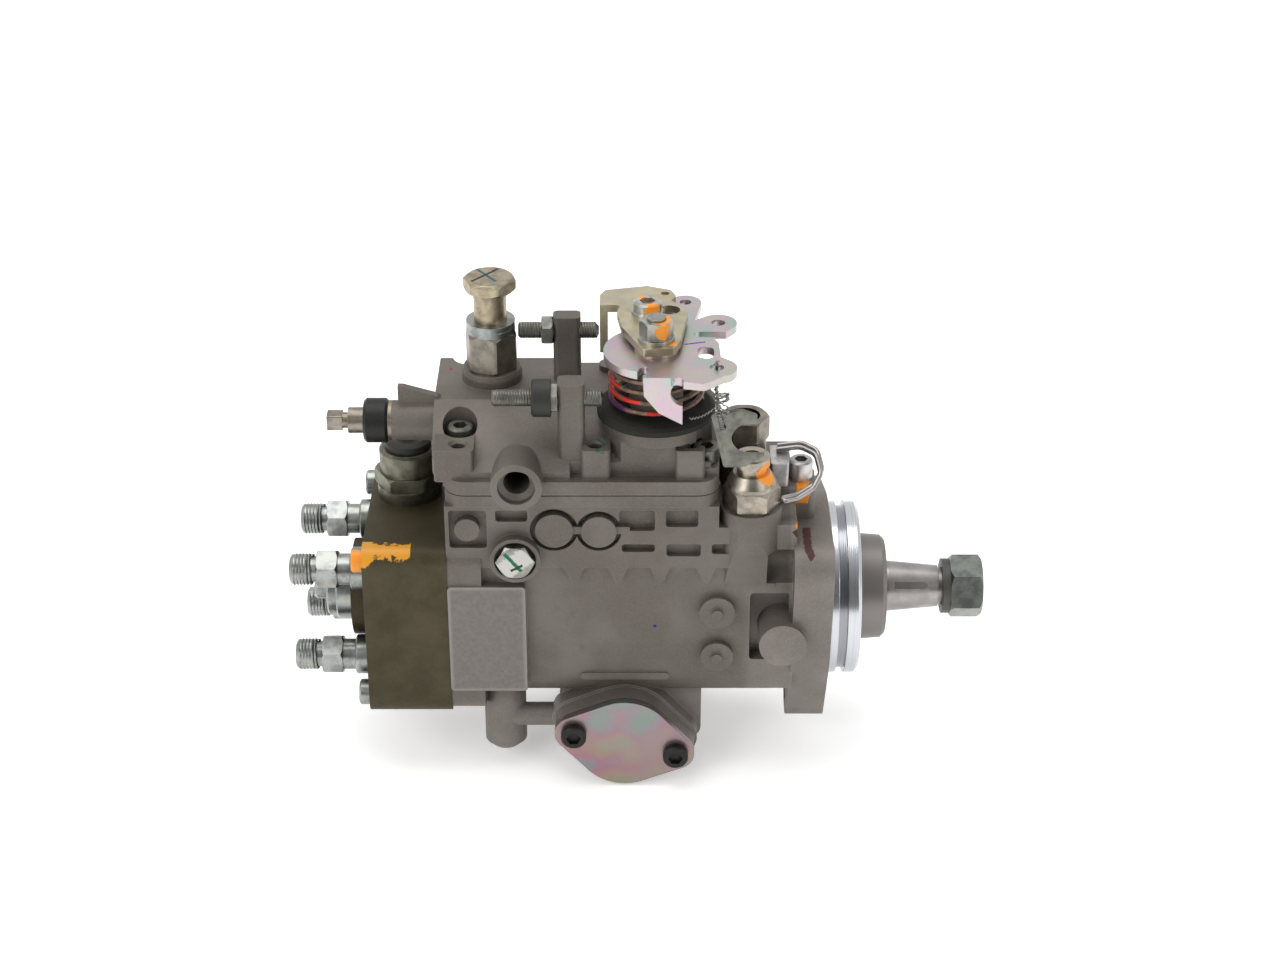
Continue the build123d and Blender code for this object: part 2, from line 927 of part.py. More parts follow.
def centre_plug():
    start = -centre_boss_end
    inner = plug_barrel_gap - (head_face + spigot_length - barrel_length + 1)
    plug = turned(
        (0, inner),
        (plug_thread_radius, inner),
        (plug_thread_radius, start),
        (plug_collar_radius, start),
        (plug_collar_radius, -plug_collar_end - 0.6),
        (plug_collar_radius - 0.6, -plug_collar_end),
        (plug_radius, -plug_collar_end),
        (plug_radius, -plug_end - 0.8),
        (plug_radius - 0.8, -plug_end),
        (0, -plug_end),
    )
    plug -= upright(rod(screw_radius + thread_gap, 12), 0, 0, -plug_end - 10)
    return [to_left(plug, 0)]


def bleed_screw():
    corner = bleed_flats / 2 + 0.4
    crown = turned(
        (0, 0),
        (corner, 0),
        (corner, bleed_height - 1),
        (bleed_crown, bleed_height),
        (0, bleed_height),
    )
    head = crown & hex_bar(bleed_flats, bleed_height + 1)
    screw = head + upright(rod(screw_radius, bleed_thread_length), 0, 0, -bleed_thread_length)
    return [to_left(screw, plug_end)]


def plunger_barrel():
    face = head_face + spigot_length
    barrel = turned(
        (plunger_radius + running, -barrel_length + 1),
        (barrel_radius, -barrel_length + 1),
        (barrel_radius, 0),
        (barrel_nose_radius, 0),
        (barrel_nose_radius, barrel_nose_end - face - 3),
        (barrel_nose_radius - 4, barrel_nose_end - face),
        (plunger_radius + running, barrel_nose_end - face),
    )
    return [to_right(barrel, face)]


def delivery_holder():
    """One delivery valve holder about Z, its seat on the head at Z=0."""
    face = head_face - head_thickness
    tip = face - outlet_tip
    thread = tip - outlet_tip_length
    neck = face - outlet_neck_end
    hex_end = face - outlet_hex_end
    ring = face - outlet_ring_start
    holder = turned(
        (0, -outlet_depth),
        (outlet_thread_radius, -outlet_depth),
        (outlet_thread_radius, 0),
        (outlet_ring_radius, 0),
        (outlet_ring_radius, ring - 0.5),
        (outlet_ring_radius - 0.5, ring),
        (outlet_thread_radius, ring),
        (outlet_thread_radius, hex_end),
        (outlet_neck_radius, hex_end),
        (outlet_neck_radius, thread),
        (outlet_tip_radius, thread + 0.9),
        (outlet_tip_radius, tip - 1),
        (outlet_tip_radius - 1, tip),
        (0, tip),
    )
    crown = turned(
        (0, hex_end), (7.1, hex_end), (8.1, hex_end + 0.8), (8.1, neck - 0.8), (7.1, neck), (0, neck)
    )
    holder += crown & upright(hex_bar(outlet_flats, neck - hex_end), 0, 0, hex_end)
    holder -= turned(
        (0, -outlet_depth - 1),
        (outlet_bore_radius, -outlet_depth - 1),
        (outlet_bore_radius, tip - 3.2),
        (outlet_tip_radius - 2.2, tip + 0.1),
        (0, tip + 0.1),
    )
    return holder


def shut_off_body():
    body = turned(
        (armature_radius + running, shut_off_thread_bottom),
        (shut_off_thread_radius, shut_off_thread_bottom),
        (shut_off_thread_radius, head_half),
        (shut_off_radius, head_half),
        (shut_off_radius, shut_off_hex_bottom),
        (shut_off_drum_radius, shut_off_hex_bottom),
        (shut_off_drum_radius, shut_off_drum_top - 1),
        (shut_off_drum_radius - 1, shut_off_drum_top),
        (0, shut_off_drum_top),
        (0, armature_room_top),
        (armature_radius + running, armature_room_top),
    )
    nut_height = shut_off_hex_top - shut_off_hex_bottom
    ring = hex_bar(shut_off_flats, nut_height) - rod(shut_off_drum_radius - 1, nut_height)
    crown = turned(
        (0, 0),
        (12.8, 0),
        (13.6, 0.8),
        (13.6, nut_height - 0.8),
        (12.8, nut_height),
        (0, nut_height),
    )
    body += upright(ring & crown, 0, 0, shut_off_hex_bottom)
    return [upright(body, shut_off_x, shut_off_y)]


def shut_off_cap():
    height = shut_off_cap_top - shut_off_drum_top
    cap = turned(
        (terminal_radius + thread_gap, 0),
        (shut_off_cap_radius, 0),
        (shut_off_cap_radius, height - 1.2),
        (shut_off_cap_radius - 2, height),
        (terminal_radius + thread_gap, height),
    )
    return [upright(cap, shut_off_x, shut_off_y, shut_off_drum_top)]


def shut_off_terminal():
    height = terminal_top - shut_off_drum_top
    rise = shut_off_cap_top - shut_off_drum_top
    post = rod(terminal_radius, height - 0.4) + upright(rod(terminal_radius - 0.4, 0.4), 0, 0, height - 0.4)
    nut = hex_bar(7, 2.4) - rod(terminal_radius - 0.1, 2.4)
    return [upright(post + upright(nut, 0, 0, rise), shut_off_x, shut_off_y, shut_off_drum_top)]


def shut_off_armature():
    length = armature_top - armature_bottom
    pin = turned((0, 0), (1.5, 0), (armature_radius, 2.5), (armature_radius, length), (0, length))
    return [upright(pin, shut_off_x, shut_off_y, armature_bottom)]


def shut_off_spring():
    length = armature_room_top - armature_top - 2 * slack
    return [
        upright(coil(armature_radius - 1.2, 0.45, 4, length), shut_off_x, shut_off_y, armature_top + slack),
    ]


def governor_cover():
    base = rounded_plate(
        head_face,
        joint_right,
        -joint_half,
        joint_half,
        joint_round,
        joint_top + gasket_thickness,
        cover_base_top,
    )
    outline = Polyline(
        (-cover_half, joint_top + 3),
        (-cover_half, cover_eave),
        (cover_ridge_near, cover_top),
        (cover_ridge_far, cover_top),
        (cover_half, cover_top - 8),
        (cover_half, joint_top + 3),
        close=True,
    )
    hood = extrude(Plane.YZ.offset(cover_left) * make_face(outline), cover_right - cover_left)
    plan = rounded_plate(cover_left, cover_right, -cover_half, cover_half, 7.0, joint_top + 3, cover_top)
    hood = hood & plan
    hood -= block(cover_left - 1, head_face, -cover_half, cover_half, joint_top, cover_base_top)
    hood -= block(cover_step, cover_right + 1, -cover_half - 1, cover_half + 1, cover_low_top, cover_top + 1)
    cover = base + hood
    tower = turned(
        (0, 0),
        (tower_radius, 0),
        (tower_radius, cover_top - cover_eave),
        (0, cover_top - cover_eave),
    )
    cover += upright(tower, throttle_x, throttle_y, cover_eave)
    cover -= block(*ledge_x, -2 * cover_half, ledge_back, cover_base_top, ledge_top)
    cover += upright(rod(bearing_radius, bearing_top - cover_top + 1), throttle_x, throttle_y, cover_top - 1)
    pillar_sides = [screw_pillar] + [(x - pillar_half, x + pillar_half) for x in tapped_holes[1:]]
    for left, right in pillar_sides:
        cover += rounded_plate(
            left, right, -cover_half, throttle_y, pillar_round, cover_base_top - 1, tapped_top
        )
    for (x, y), seat in zip(cover_screws, cover_screw_seats):
        pocket = cover_screw_head_radius + screw_pocket_gap
        cover += upright(rod(pocket + 1, seat - cover_base_top + 1), x, y, cover_base_top - 1) & lid_bounds()
        cover -= upright(rod(pocket, cover_top), x, y, seat)
        cover -= upright(rod(screw_radius + slack, cover_top), x, y, joint_top)
    boss = to_far(rod(return_outer, return_outer_length), return_x, return_face, return_z)
    boss -= block(
        return_x - 2 * return_outer,
        return_x + 2 * return_outer,
        -joint_half - slack,
        0,
        joint_top - return_outer,
        joint_top + gasket_thickness,
    )
    cover += boss
    cover += upright(
        turned((0, 0), (collar_radius, 0), (collar_radius, 4), (collar_radius - 0.6, 6), (0, 6)),
        collar_x,
        collar_y,
        collar_top - 6,
    )
    boss_length = cover_left + wall - full_load_boss_end
    cover += to_right(rod(full_load_boss_radius, boss_length), full_load_boss_end, full_load_y, full_load_z)
    fin = make_face(Polyline(*fin_outline, close=True))
    cover += extrude(Plane.XZ.offset(-full_load_y - fin_width / 2) * fin, fin_width)
    pier = rounded_plate(*pier_x, *pier_y, 2.0, cover_base_top, pier_top)
    cover += pier
    cover += rounded_plate(*post_x, *post_y, 2.0, cover_top - 2, post_top)
    lug = Pos(lug_x, lug_y) * SlotCenterToCenter(5.0, 8.0)
    cover += Pos(0, 0, cover_base_top) * extrude(lug, cover_top - 1 - cover_base_top)
    return cover - cover_room()


def lid_bounds():
    return rounded_plate(cover_left, joint_right, -joint_half, joint_half, joint_round, joint_top, post_top)


def cover_room():
    """The cavity below the cover and all its bores."""
    outline = Polyline(
        (cavity_near, joint_top - 1),
        (cavity_near, cover_eave + 3.3),
        (cover_ridge_near - 1, cavity_top),
        (cover_ridge_far - 3, cavity_top),
        (chamber_half, cavity_top - 6),
        (chamber_half, joint_top - 1),
        close=True,
    )
    room = extrude(Plane.YZ.offset(cavity_start) * make_face(outline), cavity_end - cavity_start)
    for x, y in cover_screws[2:]:
        room -= upright(rod(screw_radius + wall, 60), x, y, joint_top - 2)
    for x in tapped_holes:
        room += upright(
            turned(
                (0, -tapped_depth),
                (tapped_radius, -tapped_depth),
                (tapped_radius, tapped_radius - tapped_mouth),
                (tapped_mouth, 0),
                (tapped_mouth, 1),
                (0, 1),
            ),
            x,
            tapped_y,
            tapped_top,
        )
    room += to_far(
        turned(
            (0, -1),
            (return_counterbore, -1),
            (return_counterbore, 3),
            (return_bore, 4.5),
            (return_bore, cavity_near - return_face + 1),
            (0, cavity_near - return_face + 1),
        ),
        return_x,
        return_face,
        return_z,
    )
    room += upright(
        rod(overflow_thread_radius + thread_gap, collar_top - cavity_top + 2),
        collar_x,
        collar_y,
        cavity_top - 1,
    )
    bore_length = full_load_inner_end - full_load_boss_end + 2
    room += to_right(
        rod(full_load_thread_radius + thread_gap, bore_length),
        full_load_boss_end - 1,
        full_load_y,
        full_load_z,
    )
    room += to_right(rod(screw_radius + thread_gap, 14), post_x[0] - 1, idle_y, idle_z)
    room += to_right(rod(screw_radius + thread_gap, 14), pier_x[0] - 1, speed_y, speed_z)
    room += upright(
        rod(throttle_radius + running, bearing_top - throttle_bottom + 2),
        throttle_x,
        throttle_y,
        throttle_bottom,
    )
    room += upright(rod(2.6, 10), lug_x, lug_y, cover_top - 9)
    return room


def cover_gasket():
    plate = rounded_plate(
        head_face,
        joint_right,
        -joint_half,
        joint_half,
        joint_round,
        joint_top,
        joint_top + gasket_thickness,
    )
    plate -= rounded_plate(
        cavity_start - 1,
        chamber_end + 1,
        -chamber_half - 0.5,
        chamber_half + 0.5,
        3.0,
        joint_top - 1,
        joint_top + 2,
    )
    for x, y in cover_screws:
        plate -= upright(rod(screw_radius + slack, 4), x, y, joint_top - 2)
    return [plate]


def cover_screw_set():
    screws = []
    for (x, y), seat in zip(cover_screws, cover_screw_seats):
        length = seat - joint_top + cover_screw_depth - 1
        screw = cap_screw(cover_screw_head_radius, cover_screw_head_height, screw_radius, length)
        screws.append(upright(screw, x, y, seat))
    return screws


def overflow_adapter():
    top = overflow_hex_top - collar_top
    body = turned(
        (2.5, -11),
        (overflow_thread_radius, -11),
        (overflow_thread_radius, 0),
        (9.0, 0),
        (9.0, top),
        (bolt_thread_radius + thread_gap, top),
        (bolt_thread_radius + thread_gap, top - 12),
        (2.5, top - 14),
    )
    crown = turned((8.0, 0), (9.2, 0), (10.1, 1), (10.1, top - 1), (9.2, top), (8.0, top))
    body += crown & hex_bar(overflow_flats, top, adapter_turn)
    return [upright(body, collar_x, collar_y, collar_top)]


def overflow_washers():
    ring = tube(overflow_washer_radius, bolt_thread_radius + slack, overflow_washer)
    return [
        upright(ring, collar_x, collar_y, overflow_hex_top + index * overflow_washer) for index in range(2)
    ]


def overflow_bolt():
    seat = overflow_hex_top + 2 * overflow_washer
    neck = overflow_neck_top - seat
    head = overflow_head_top - seat
    body = turned(
        (0, -14), (4.2, -14), (bolt_thread_radius, -13), (bolt_thread_radius, 0), (overflow_neck_radius, 0),
        (overflow_neck_radius, neck), (0, neck),
    )
    crown = turned((0, neck), (9.0, neck), (10.1, neck + 1), (10.1, head - 1.2), (8.6, head), (0, head))
    body += crown & upright(hex_bar(overflow_flats, head - neck, bolt_turn), 0, 0, neck)
    return [upright(body, collar_x, collar_y, seat)]


def idle_screw():
    length = idle_end - idle_start
    screw = turned(
        (0, 0),
        (2.4, 0),
        (screw_radius, 0.7),
        (screw_radius, length - 1.5),
        (1.5, length),
        (0, length),
    )
    screw -= hex_bar(3.0, 2.5)
    return [to_right(screw, idle_start, idle_y, idle_z)]


def idle_nut():
    width = post_x[0] - idle_nut_start
    crown = turned((0, 0), (4.9, 0), (5.8, 0.7), (5.8, width - 0.7), (4.9, width), (0, width))
    nut = (crown & hex_bar(idle_nut_flats, width)) - rod(screw_radius + thread_gap, width)
    return [to_right(nut, idle_nut_start, idle_y, idle_z)]


def max_speed_screw():
    length = speed_end - speed_start
    screw = turned(
        (0, 0),
        (2.4, 0),
        (screw_radius, 0.7),
        (screw_radius, length - 1.5),
        (1.5, length),
        (0, length),
    )
    screw -= hex_bar(3.0, 2.5)
    return [to_right(screw, speed_start, speed_y, speed_z)]


def max_speed_cap():
    width = speed_cap_end - speed_cap_start
    cap = turned(
        (screw_radius + thread_gap, 0),
        (speed_cap_radius - 0.8, 0),
        (speed_cap_radius, 0.8),
        (speed_cap_radius, width),
        (screw_radius + thread_gap, width),
    )
    return [to_right(cap, speed_cap_start, speed_y, speed_z)]


def max_speed_nut():
    width = pier_x[0] - speed_cap_end
    nut = hex_bar(10.0, width) - rod(screw_radius + thread_gap, width)
    return [to_right(nut, speed_cap_end, speed_y, speed_z)]


def full_load_screw():
    square = full_load_square_length
    neck = full_load_neck_end - full_load_tip
    shoulder = nut_collar_start - full_load_tip
    end = full_load_inner_end - full_load_tip
    screw = turned(
        (0, square),
        (3.0, square),
        (3.0, neck),
        (full_load_radius, neck),
        (full_load_radius, shoulder),
        (full_load_thread_radius, shoulder),
        (full_load_thread_radius, end - 1),
        (3.0, end),
        (0, end),
    )
    screw += extrude(RectangleRounded(full_load_square, full_load_square, 0.6), square)
    return [to_right(screw, full_load_tip, full_load_y, full_load_z)]


def full_load_nut():
    width = nut_collar_end - nut_collar_start
    nut = turned(
        (4 + thread_gap, 0),
        (nut_collar_radius - 1, 0),
        (nut_collar_radius, 1),
        (nut_collar_radius, width - 1),
        (nut_collar_radius - 1, width),
        (4 + thread_gap, width),
    )
    return [to_right(nut, nut_collar_start, full_load_y, full_load_z)]


def full_load_washer():
    width = full_load_boss_end - nut_collar_end
    return [to_right(tube(full_load_boss_radius, 4 + slack, width), nut_collar_end, full_load_y, full_load_z)]


def spring_seat():
    height = spring_seat_top - cover_top
    seat = turned(
        (bearing_radius + slack, 0),
        (spring_seat_radius, 0),
        (spring_seat_radius, height - 1),
        (spring_seat_radius - 1.5, height),
        (bearing_radius + slack, height),
    )
    return [upright(seat, throttle_x, throttle_y, cover_top)]


def inlet_union():
    top = inlet_top - inlet_seat
    hex_start = inlet_hex_bottom - inlet_seat
    body = turned(
        (4, -inlet_depth + 0.5),
        (inlet_thread_radius, -inlet_depth + 0.5),
        (inlet_thread_radius, 0),
        (8.5, 0),
        (8.5, top - 0.1),
        (inlet_bore, top - 0.1),
        (inlet_bore, 2),
        (4, 0),
    )
    crown = turned(
        (8.0, hex_start),
        (9.0, hex_start),
        (9.6, hex_start + 0.8),
        (9.6, top - 0.8),
        (8.7, top),
        (inlet_bore, top),
        (inlet_bore, top - 1), (8.0, top - 1),
    )
    body += crown & upright(hex_bar(inlet_flats, top - hex_start), 0, 0, hex_start)
    return [upright(body, inlet_x, inlet_y, inlet_seat)]


def regulating_valve():
    hex_top = valve_hex_top - valve_seat
    body = turned(
        (0, -valve_depth + 0.5),
        (valve_thread_radius, -valve_depth + 0.5),
        (valve_thread_radius, 0),
        (9.3, 0),
        (9.3, hex_top + 1.5),
        (7.0, hex_top + 5.5),
        (5.5, hex_top + 5.5),
        (5.5, hex_top + 8.5),
        (6.7, hex_top + 8.5),
        (6.7, hex_top + 11.9),
        (6.1, hex_top + 12.5),
        (3.2, hex_top + 12.5),
        (3.2, hex_top + 10),
        (0, hex_top + 10),
    )
    crown = turned((0, 0), (10.0, 0), (10.9, 1), (10.9, hex_top - 1.5), (9.4, hex_top), (0, hex_top))
    body += crown & hex_bar(valve_flats, hex_top)
    return [upright(body, valve_x, valve_y, valve_seat)]


def banjo_block():
    return [rounded_plate(*block_x, *block_y, 1.0, *block_z)]


def block_screw():
    screw = cap_screw(block_screw_radius, 8.0, screw_radius, block_screw_depth - 0.5)
    return [upright(screw, block_screw_x, block_screw_y, block_z[0])]


def wire_bail():
    """A hairpin of round wire from the block's top, round to the valve."""
    level = block_z[1] + wire_radius + 0.05
    route = (
        (-21.0, -3.4, level),
        (-12.0, -4.0, level + 1.6),
        (-6.2, -9.0, level + 1.0),
        (-4.6, -16.0, 59.5),
        (-8.0, -22.0, 56.2),
        (-14.0, -26.0, 54.3),
        (-20.0, -28.4, 54.2),
    )
    back = [(x + 0.6, y + 2.6, z + 0.4) for x, y, z in route]
    points = list(route) + back[::-1]
    radii = [5, 5, 5, 5, 5, 1.2, 1.2, 5, 5, 5, 5, 5]
    path = FilletPolyline(*points, radius=radii)
    return [sweep(Plane(path @ 0, z_dir=path % 0) * Circle(wire_radius), path=path)]


def timing_cover():
    plate = timing_outline()
    for x, z in timing_screws:
        plate -= Pos(x, z) * Circle(timing_screw_radius + slack)
    return plate


def timing_covers():
    near = extrude(Plane.XZ.offset(timing_half) * timing_cover(), timing_plate_thickness)
    far = extrude(
        Plane.XZ.offset(-timing_half - timing_plate_thickness) * timing_cover(),
        timing_plate_thickness,
    )
    return [near], [far]


def timing_gaskets():
    sheet = timing_cover() - Pos(timing_x, timing_z) * Circle(timing_radius)
    near = extrude(Plane.XZ.offset(timing_half - gasket_thickness) * sheet, gasket_thickness)
    far = extrude(Plane.XZ.offset(-timing_half) * sheet, gasket_thickness)
    return [near, far]


def timing_screw_set():
    screw = cap_screw(
        timing_screw_head_radius, timing_screw_head_height, timing_screw_radius, timing_screw_depth
    )
    face = timing_half + timing_plate_thickness
    screws = [to_near(screw, x, -face, z) for x, z in timing_screws]
    return screws + [to_far(screw, x, face, z) for x, z in timing_screws]


def pivot_bolts():
    floor = body_half + plug_boss_proud - plug_recess_depth
    thread = floor - chamber_half
    bolt = turned(
        (0, -floor + pivot_pin_reach),
        (pivot_pin_radius, -floor + pivot_pin_reach),
        (pivot_pin_radius, -thread),
        (pivot_thread_radius, -thread),
        (pivot_thread_radius, 0),
        (0, 0),
    )
    crown = turned((0, 0), (7.0, 0), (7.5, 0.6), (7.5, 3.6), (6.4, 4.4), (0, 4.4))
    bolt += crown & hex_bar(pivot_flats, 4.4)
    return [to_near(bolt, pivot_x, -floor, pivot_z), to_far(bolt, pivot_x, floor, pivot_z)]


def shaft_seal():
    return [
        to_right(tube(seal_radius - thread_gap, shaft_radius + running, seal_end - seal_start), seal_start),
    ]


def shaft_bush():
    return [to_right(tube(bush_radius - thread_gap, shaft_radius + running, bush_end - bore_end), bore_end)]


def pump_ring():
    outline = Circle(bore_radius - thread_gap) - Pos(0, pump_offset) * Circle(pump_room_radius)
    return [to_right(extrude(outline, pump_end - pump_start), pump_start)]


def pump_plates():
    plate = tube(bore_radius - thread_gap, shaft_radius + running, pump_plate)
    return [to_right(plate, pump_start - pump_plate), to_right(plate, pump_end)]


def vane_cuts(gap):
    """Four vane shapes across the rotor about Z, wider by a gap."""
    width = vane_thickness + 2 * gap
    vanes = []
    for index in range(4):
        sheet = Pos(rotor_radius - vane_depth / 2 + 0.15, 0) * Rectangle(vane_depth + 2 * gap, width)
        vanes.append(Rot(0, 0, 45 + 90 * index) * sheet)
    return vanes


def pump_rotor():
    outline = Circle(rotor_radius) - Circle(shaft_radius + thread_gap)
    for cut in vane_cuts(running):
        outline -= cut
    length = pump_end - pump_start - 2 * running
    return [to_right(extrude(outline, length), pump_start + running)]


def pump_vanes():
    length = pump_end - pump_start - 2 * running
    return [to_right(extrude(vane, length), pump_start + running) for vane in vane_cuts(0)]


def claws(inner, outer, reach, gap, first):
    """Two claws about Z standing on Z=0, the first at the given angle."""
    half = math.radians(claw_angle / 2 + gap)
    far = 2 * outer
    wedge = make_face(
        Polyline(
            (0, 0),
            (far * math.cos(half), far * math.sin(half)),
            (far * math.cos(half), -far * math.sin(half)),
            close=True,
        )
    )
    ring = Circle(outer) - Circle(inner)
    pair = (ring & (Rot(0, 0, first) * wedge)) + (ring & (Rot(0, 0, first + 180) * wedge))
    return extrude(pair, reach)


def drive_shaft():
    yoke = yoke_start
    shaft = turned(
        (0, 0),
        (yoke_radius, 0),
        (yoke_radius, yoke_end - yoke),
        (shaft_radius, yoke_end - yoke),
        (shaft_radius, shaft_shoulder - yoke),
        (cone_end_radius, cone_end - yoke),
        (thread_radius, cone_end - yoke),
        (thread_radius, thread_end - yoke - 1.2),
        (thread_radius - 1.2, thread_end - yoke),
        (0, thread_end - yoke),
    )
    shaft = to_right(shaft, yoke)
    shaft += to_left(claws(claw_inner, yoke_radius, claw_reach, 0, 0), yoke)
    slot = block(
        shaft_shoulder + 2,
        cone_end + 1,
        -key_width / 2,
        key_width / 2,
        shaft_radius - key_depth,
        2 * shaft_radius,
    )
    return [shaft - Rot(key_turn, 0, 0) * slot]


def lock_washer():
    ring = tube(washer_radius, thread_radius + slack, washer_thickness)
    split = Pos(washer_radius, 0, 0) * Rot(20, 0, 0) * Box(washer_radius, 1.2, 4 * washer_thickness)
    return [to_right(ring - split, washer_start)]


def shaft_nut():
    start = washer_start + washer_thickness
    length = nut_end - start
    crown = turned((0, 0), (11.2, 0), (12.7, 1.2), (12.7, length - 1.2), (11.2, length), (0, length))
    nut = (crown & hex_bar(nut_flats, length, nut_turn)) - rod(thread_radius + thread_gap, length)
    return [to_right(nut, start)]


def drive_gear():
    return [to_left(gear(drive_teeth, gear_width, shaft_radius + running), gear_start + gear_width)]


def coupling_disc():
    length = disc_end - disc_start
    outline = rod(yoke_radius, length)
    outline -= claws(claw_inner - slack, yoke_radius + 1, length, 1.5, 0)
    outline -= claws(claw_inner - slack, yoke_radius + 1, length, 1.5, 90)
    return [to_right(outline, disc_start)]


def cam_plate():
    plate = tube(cam_radius, plunger_radius + running, cam_end - cam_start)
    crest = 20.0
    band = tube(cam_radius, roller_place - roller_length / 2 - 0.5, lobe_height)
    for index in range(lobe_count):
        dome = Pos(roller_place, 0, lobe_height - crest) * Rot(0, 90, 0) * Cylinder(crest, 14)
        plate += Pos(0, 0, cam_end - cam_start) * (band & (Rot(0, 0, 45 + 360 * index / lobe_count) * dome))
    reach = yoke_start - slack - cam_end
    plate += Pos(0, 0, cam_end - cam_start) * claws(claw_inner, yoke_radius, reach, 0, 90)
    return [to_right(plate, cam_start)]


def roller_places():
    return [45 + 360 * index / lobe_count for index in range(lobe_count)]


def roller_axis(piece, angle):
    """Set a piece that lies along Z from its middle on a roller's radial axis."""
    return Rot(angle, 0, 0) * Pos(roller_x, 0, roller_place) * piece


def roller_ring():
    ring = to_right(tube(bore_radius - running, ring_bore, ring_end - ring_start), ring_start)
    for angle in roller_places():
        ring -= roller_axis(Cylinder(roller_radius + slack, roller_length + 2 * slack), angle)
    stem_start = ring_bore + 4
    stem = upright(rod(pin_stem_radius, timing_reach - stem_start), 0, 0, stem_start)
    ball = Pos(0, 0, timing_reach) * Sphere(pin_ball_radius)
    ring += Rot(timing_tilt, 0, 0) * Pos(timing_x, 0, 0) * Rot(180, 0, 0) * (stem + ball)
    return [ring]


def rollers():
    return [roller_axis(Cylinder(roller_radius, roller_length), angle) for angle in roller_places()]


def timing_piston():
    piston = to_far(rod(timing_radius - running, piston_far - piston_near), timing_x, piston_near, timing_z)
    stub = timing_half - slack + piston_near
    piston += to_near(rod(piston_stub_radius, stub), timing_x, piston_near, timing_z)
    hole = upright(rod(pin_ball_radius + 0.5, 30), timing_x, piston_hole_y, timing_z - 5)
    return [piston - hole]


def timing_spring():
    length = timing_half - piston_far - 2 * slack
    return [to_far(coil(9.0, 1.3, 4, length), timing_x, piston_far + slack, timing_z)]


def spring_bridge():
    outline = hull_of(((0, 0, 9), (0, plunger_spring_place, 6), (0, -plunger_spring_place, 6)))
    outline -= Circle(plunger_radius + slack)
    return [to_right(extrude(outline, bridge_thickness), bridge_start)]


def plunger_springs():
    start = head_face + spigot_length + slack
    length = bridge_start - slack - start
    return [
        to_right(coil(plunger_spring_radius, 0.9, 5, length), start, side * plunger_spring_place)
        for side in (-1, 1)
    ]


def plunger():
    length = cam_start - plunger_end
    return [
        to_right(
            turned((0, 0), (4.4, 0), (plunger_radius, 0.6), (plunger_radius, length), (0, length)),
            plunger_end,
        ),
    ]


def control_sleeve():
    half = sleeve_length / 2
    sleeve = turned(
        (plunger_radius + running, -half),
        (sleeve_radius, -half),
        (sleeve_radius, -sleeve_groove / 2),
        (sleeve_groove_radius, -sleeve_groove / 2),
        (sleeve_groove_radius, sleeve_groove / 2),
        (sleeve_radius, sleeve_groove / 2),
        (sleeve_radius, half),
        (plunger_radius + running, half),
    )
    return [to_right(sleeve, pivot_x)]


def sector(inner, outer, start, end, length):
    """A sector of a ring about Z, between two angles under 90 degrees apart."""
    far = 3 * outer
    wedge = make_face(
        Polyline((0, 0), polar(far, start), polar(far, (start + end) / 2), polar(far, end), close=True)
    )
    return extrude((Circle(outer) - Circle(inner)) & wedge, length)


def governor_gear():
    """The gear with the cage of the flyweights on it."""
    wheel = Rot(0, 0, 180 / governor_teeth) * gear(
        governor_teeth, gear_width, governor_shaft_radius + running
    )
    cage = tube(cage_radius, governor_shaft_radius + running, 2.0)
    depth = gear_start - 2 - cage_start
    for index in range(4):
        cage += Pos(0, 0, 2) * sector(10, cage_radius, 90 * index - 14, 90 * index + 14, depth)
    return [
        to_right(wheel, gear_start, 0, governor_z) + to_left(cage, gear_start, 0, governor_z)
    ]


def flyweights():
    weights = []
    depth = gear_start - 2 - slack - cage_start
    toe = cage_start - pusher_end - slack
    for index in range(4):
        middle = 45 + 90 * index
        weight = sector(7.0, cage_radius - 0.4, middle - 27, middle + 27, depth)
        weight += Pos(0, 0, depth) * sector(3.8, 9.0, middle - 27, middle + 27, toe)
        weights.append(to_left(weight, gear_start - 2 - slack, 0, governor_z))
    return weights


def governor_pusher():
    length = pusher_end - pusher_tip
    body = turned(
        (0, 0),
        (0.8, 0),
        (pusher_radius, 2.5),
        (pusher_radius, length - 3),
        (pusher_flange_radius, length - 3),
        (pusher_flange_radius, length),
        (governor_shaft_radius + running, length),
        (governor_shaft_radius + running, 6),
        (0, 6),
    )
    return [to_right(body, pusher_tip, 0, governor_z)]


def governor_shaft():
    length = governor_shaft_end - governor_shaft_start
    radius = governor_shaft_radius
    return [
        to_right(
            turned((0, 0), (radius - 0.5, 0), (radius, 0.5), (radius, length), (0, length)),
            governor_shaft_start,
            0,
            governor_z,
        ),
    ]


def governor_lever():
    arm = rounded_plate(
        pivot_x - lever_plate / 2,
        pivot_x + lever_plate / 2,
        -lever_half_width,
        lever_half_width,
        1.0,
        pivot_z,
        lever_top,
    )
    arm += to_far(rod(pivot_tube_radius, 2 * lever_tube_half), pivot_x, -lever_tube_half, pivot_z)
    arm += upright(rod(1.6, pivot_z - lever_ball_z), pivot_x, 0, lever_ball_z)
    arm += Pos(pivot_x, 0, lever_ball_z) * Sphere(lever_ball_radius)
    arm += to_near(
        rod(crank_pin_radius, lever_half_width + 11), pivot_x, lever_half_width - 1, lever_spring_z
    )
    arm -= to_far(
        rod(pivot_pin_radius + running, 2 * lever_tube_half + 2),
        pivot_x,
        -lever_tube_half - 1,
        pivot_z,
    )
    return [arm]


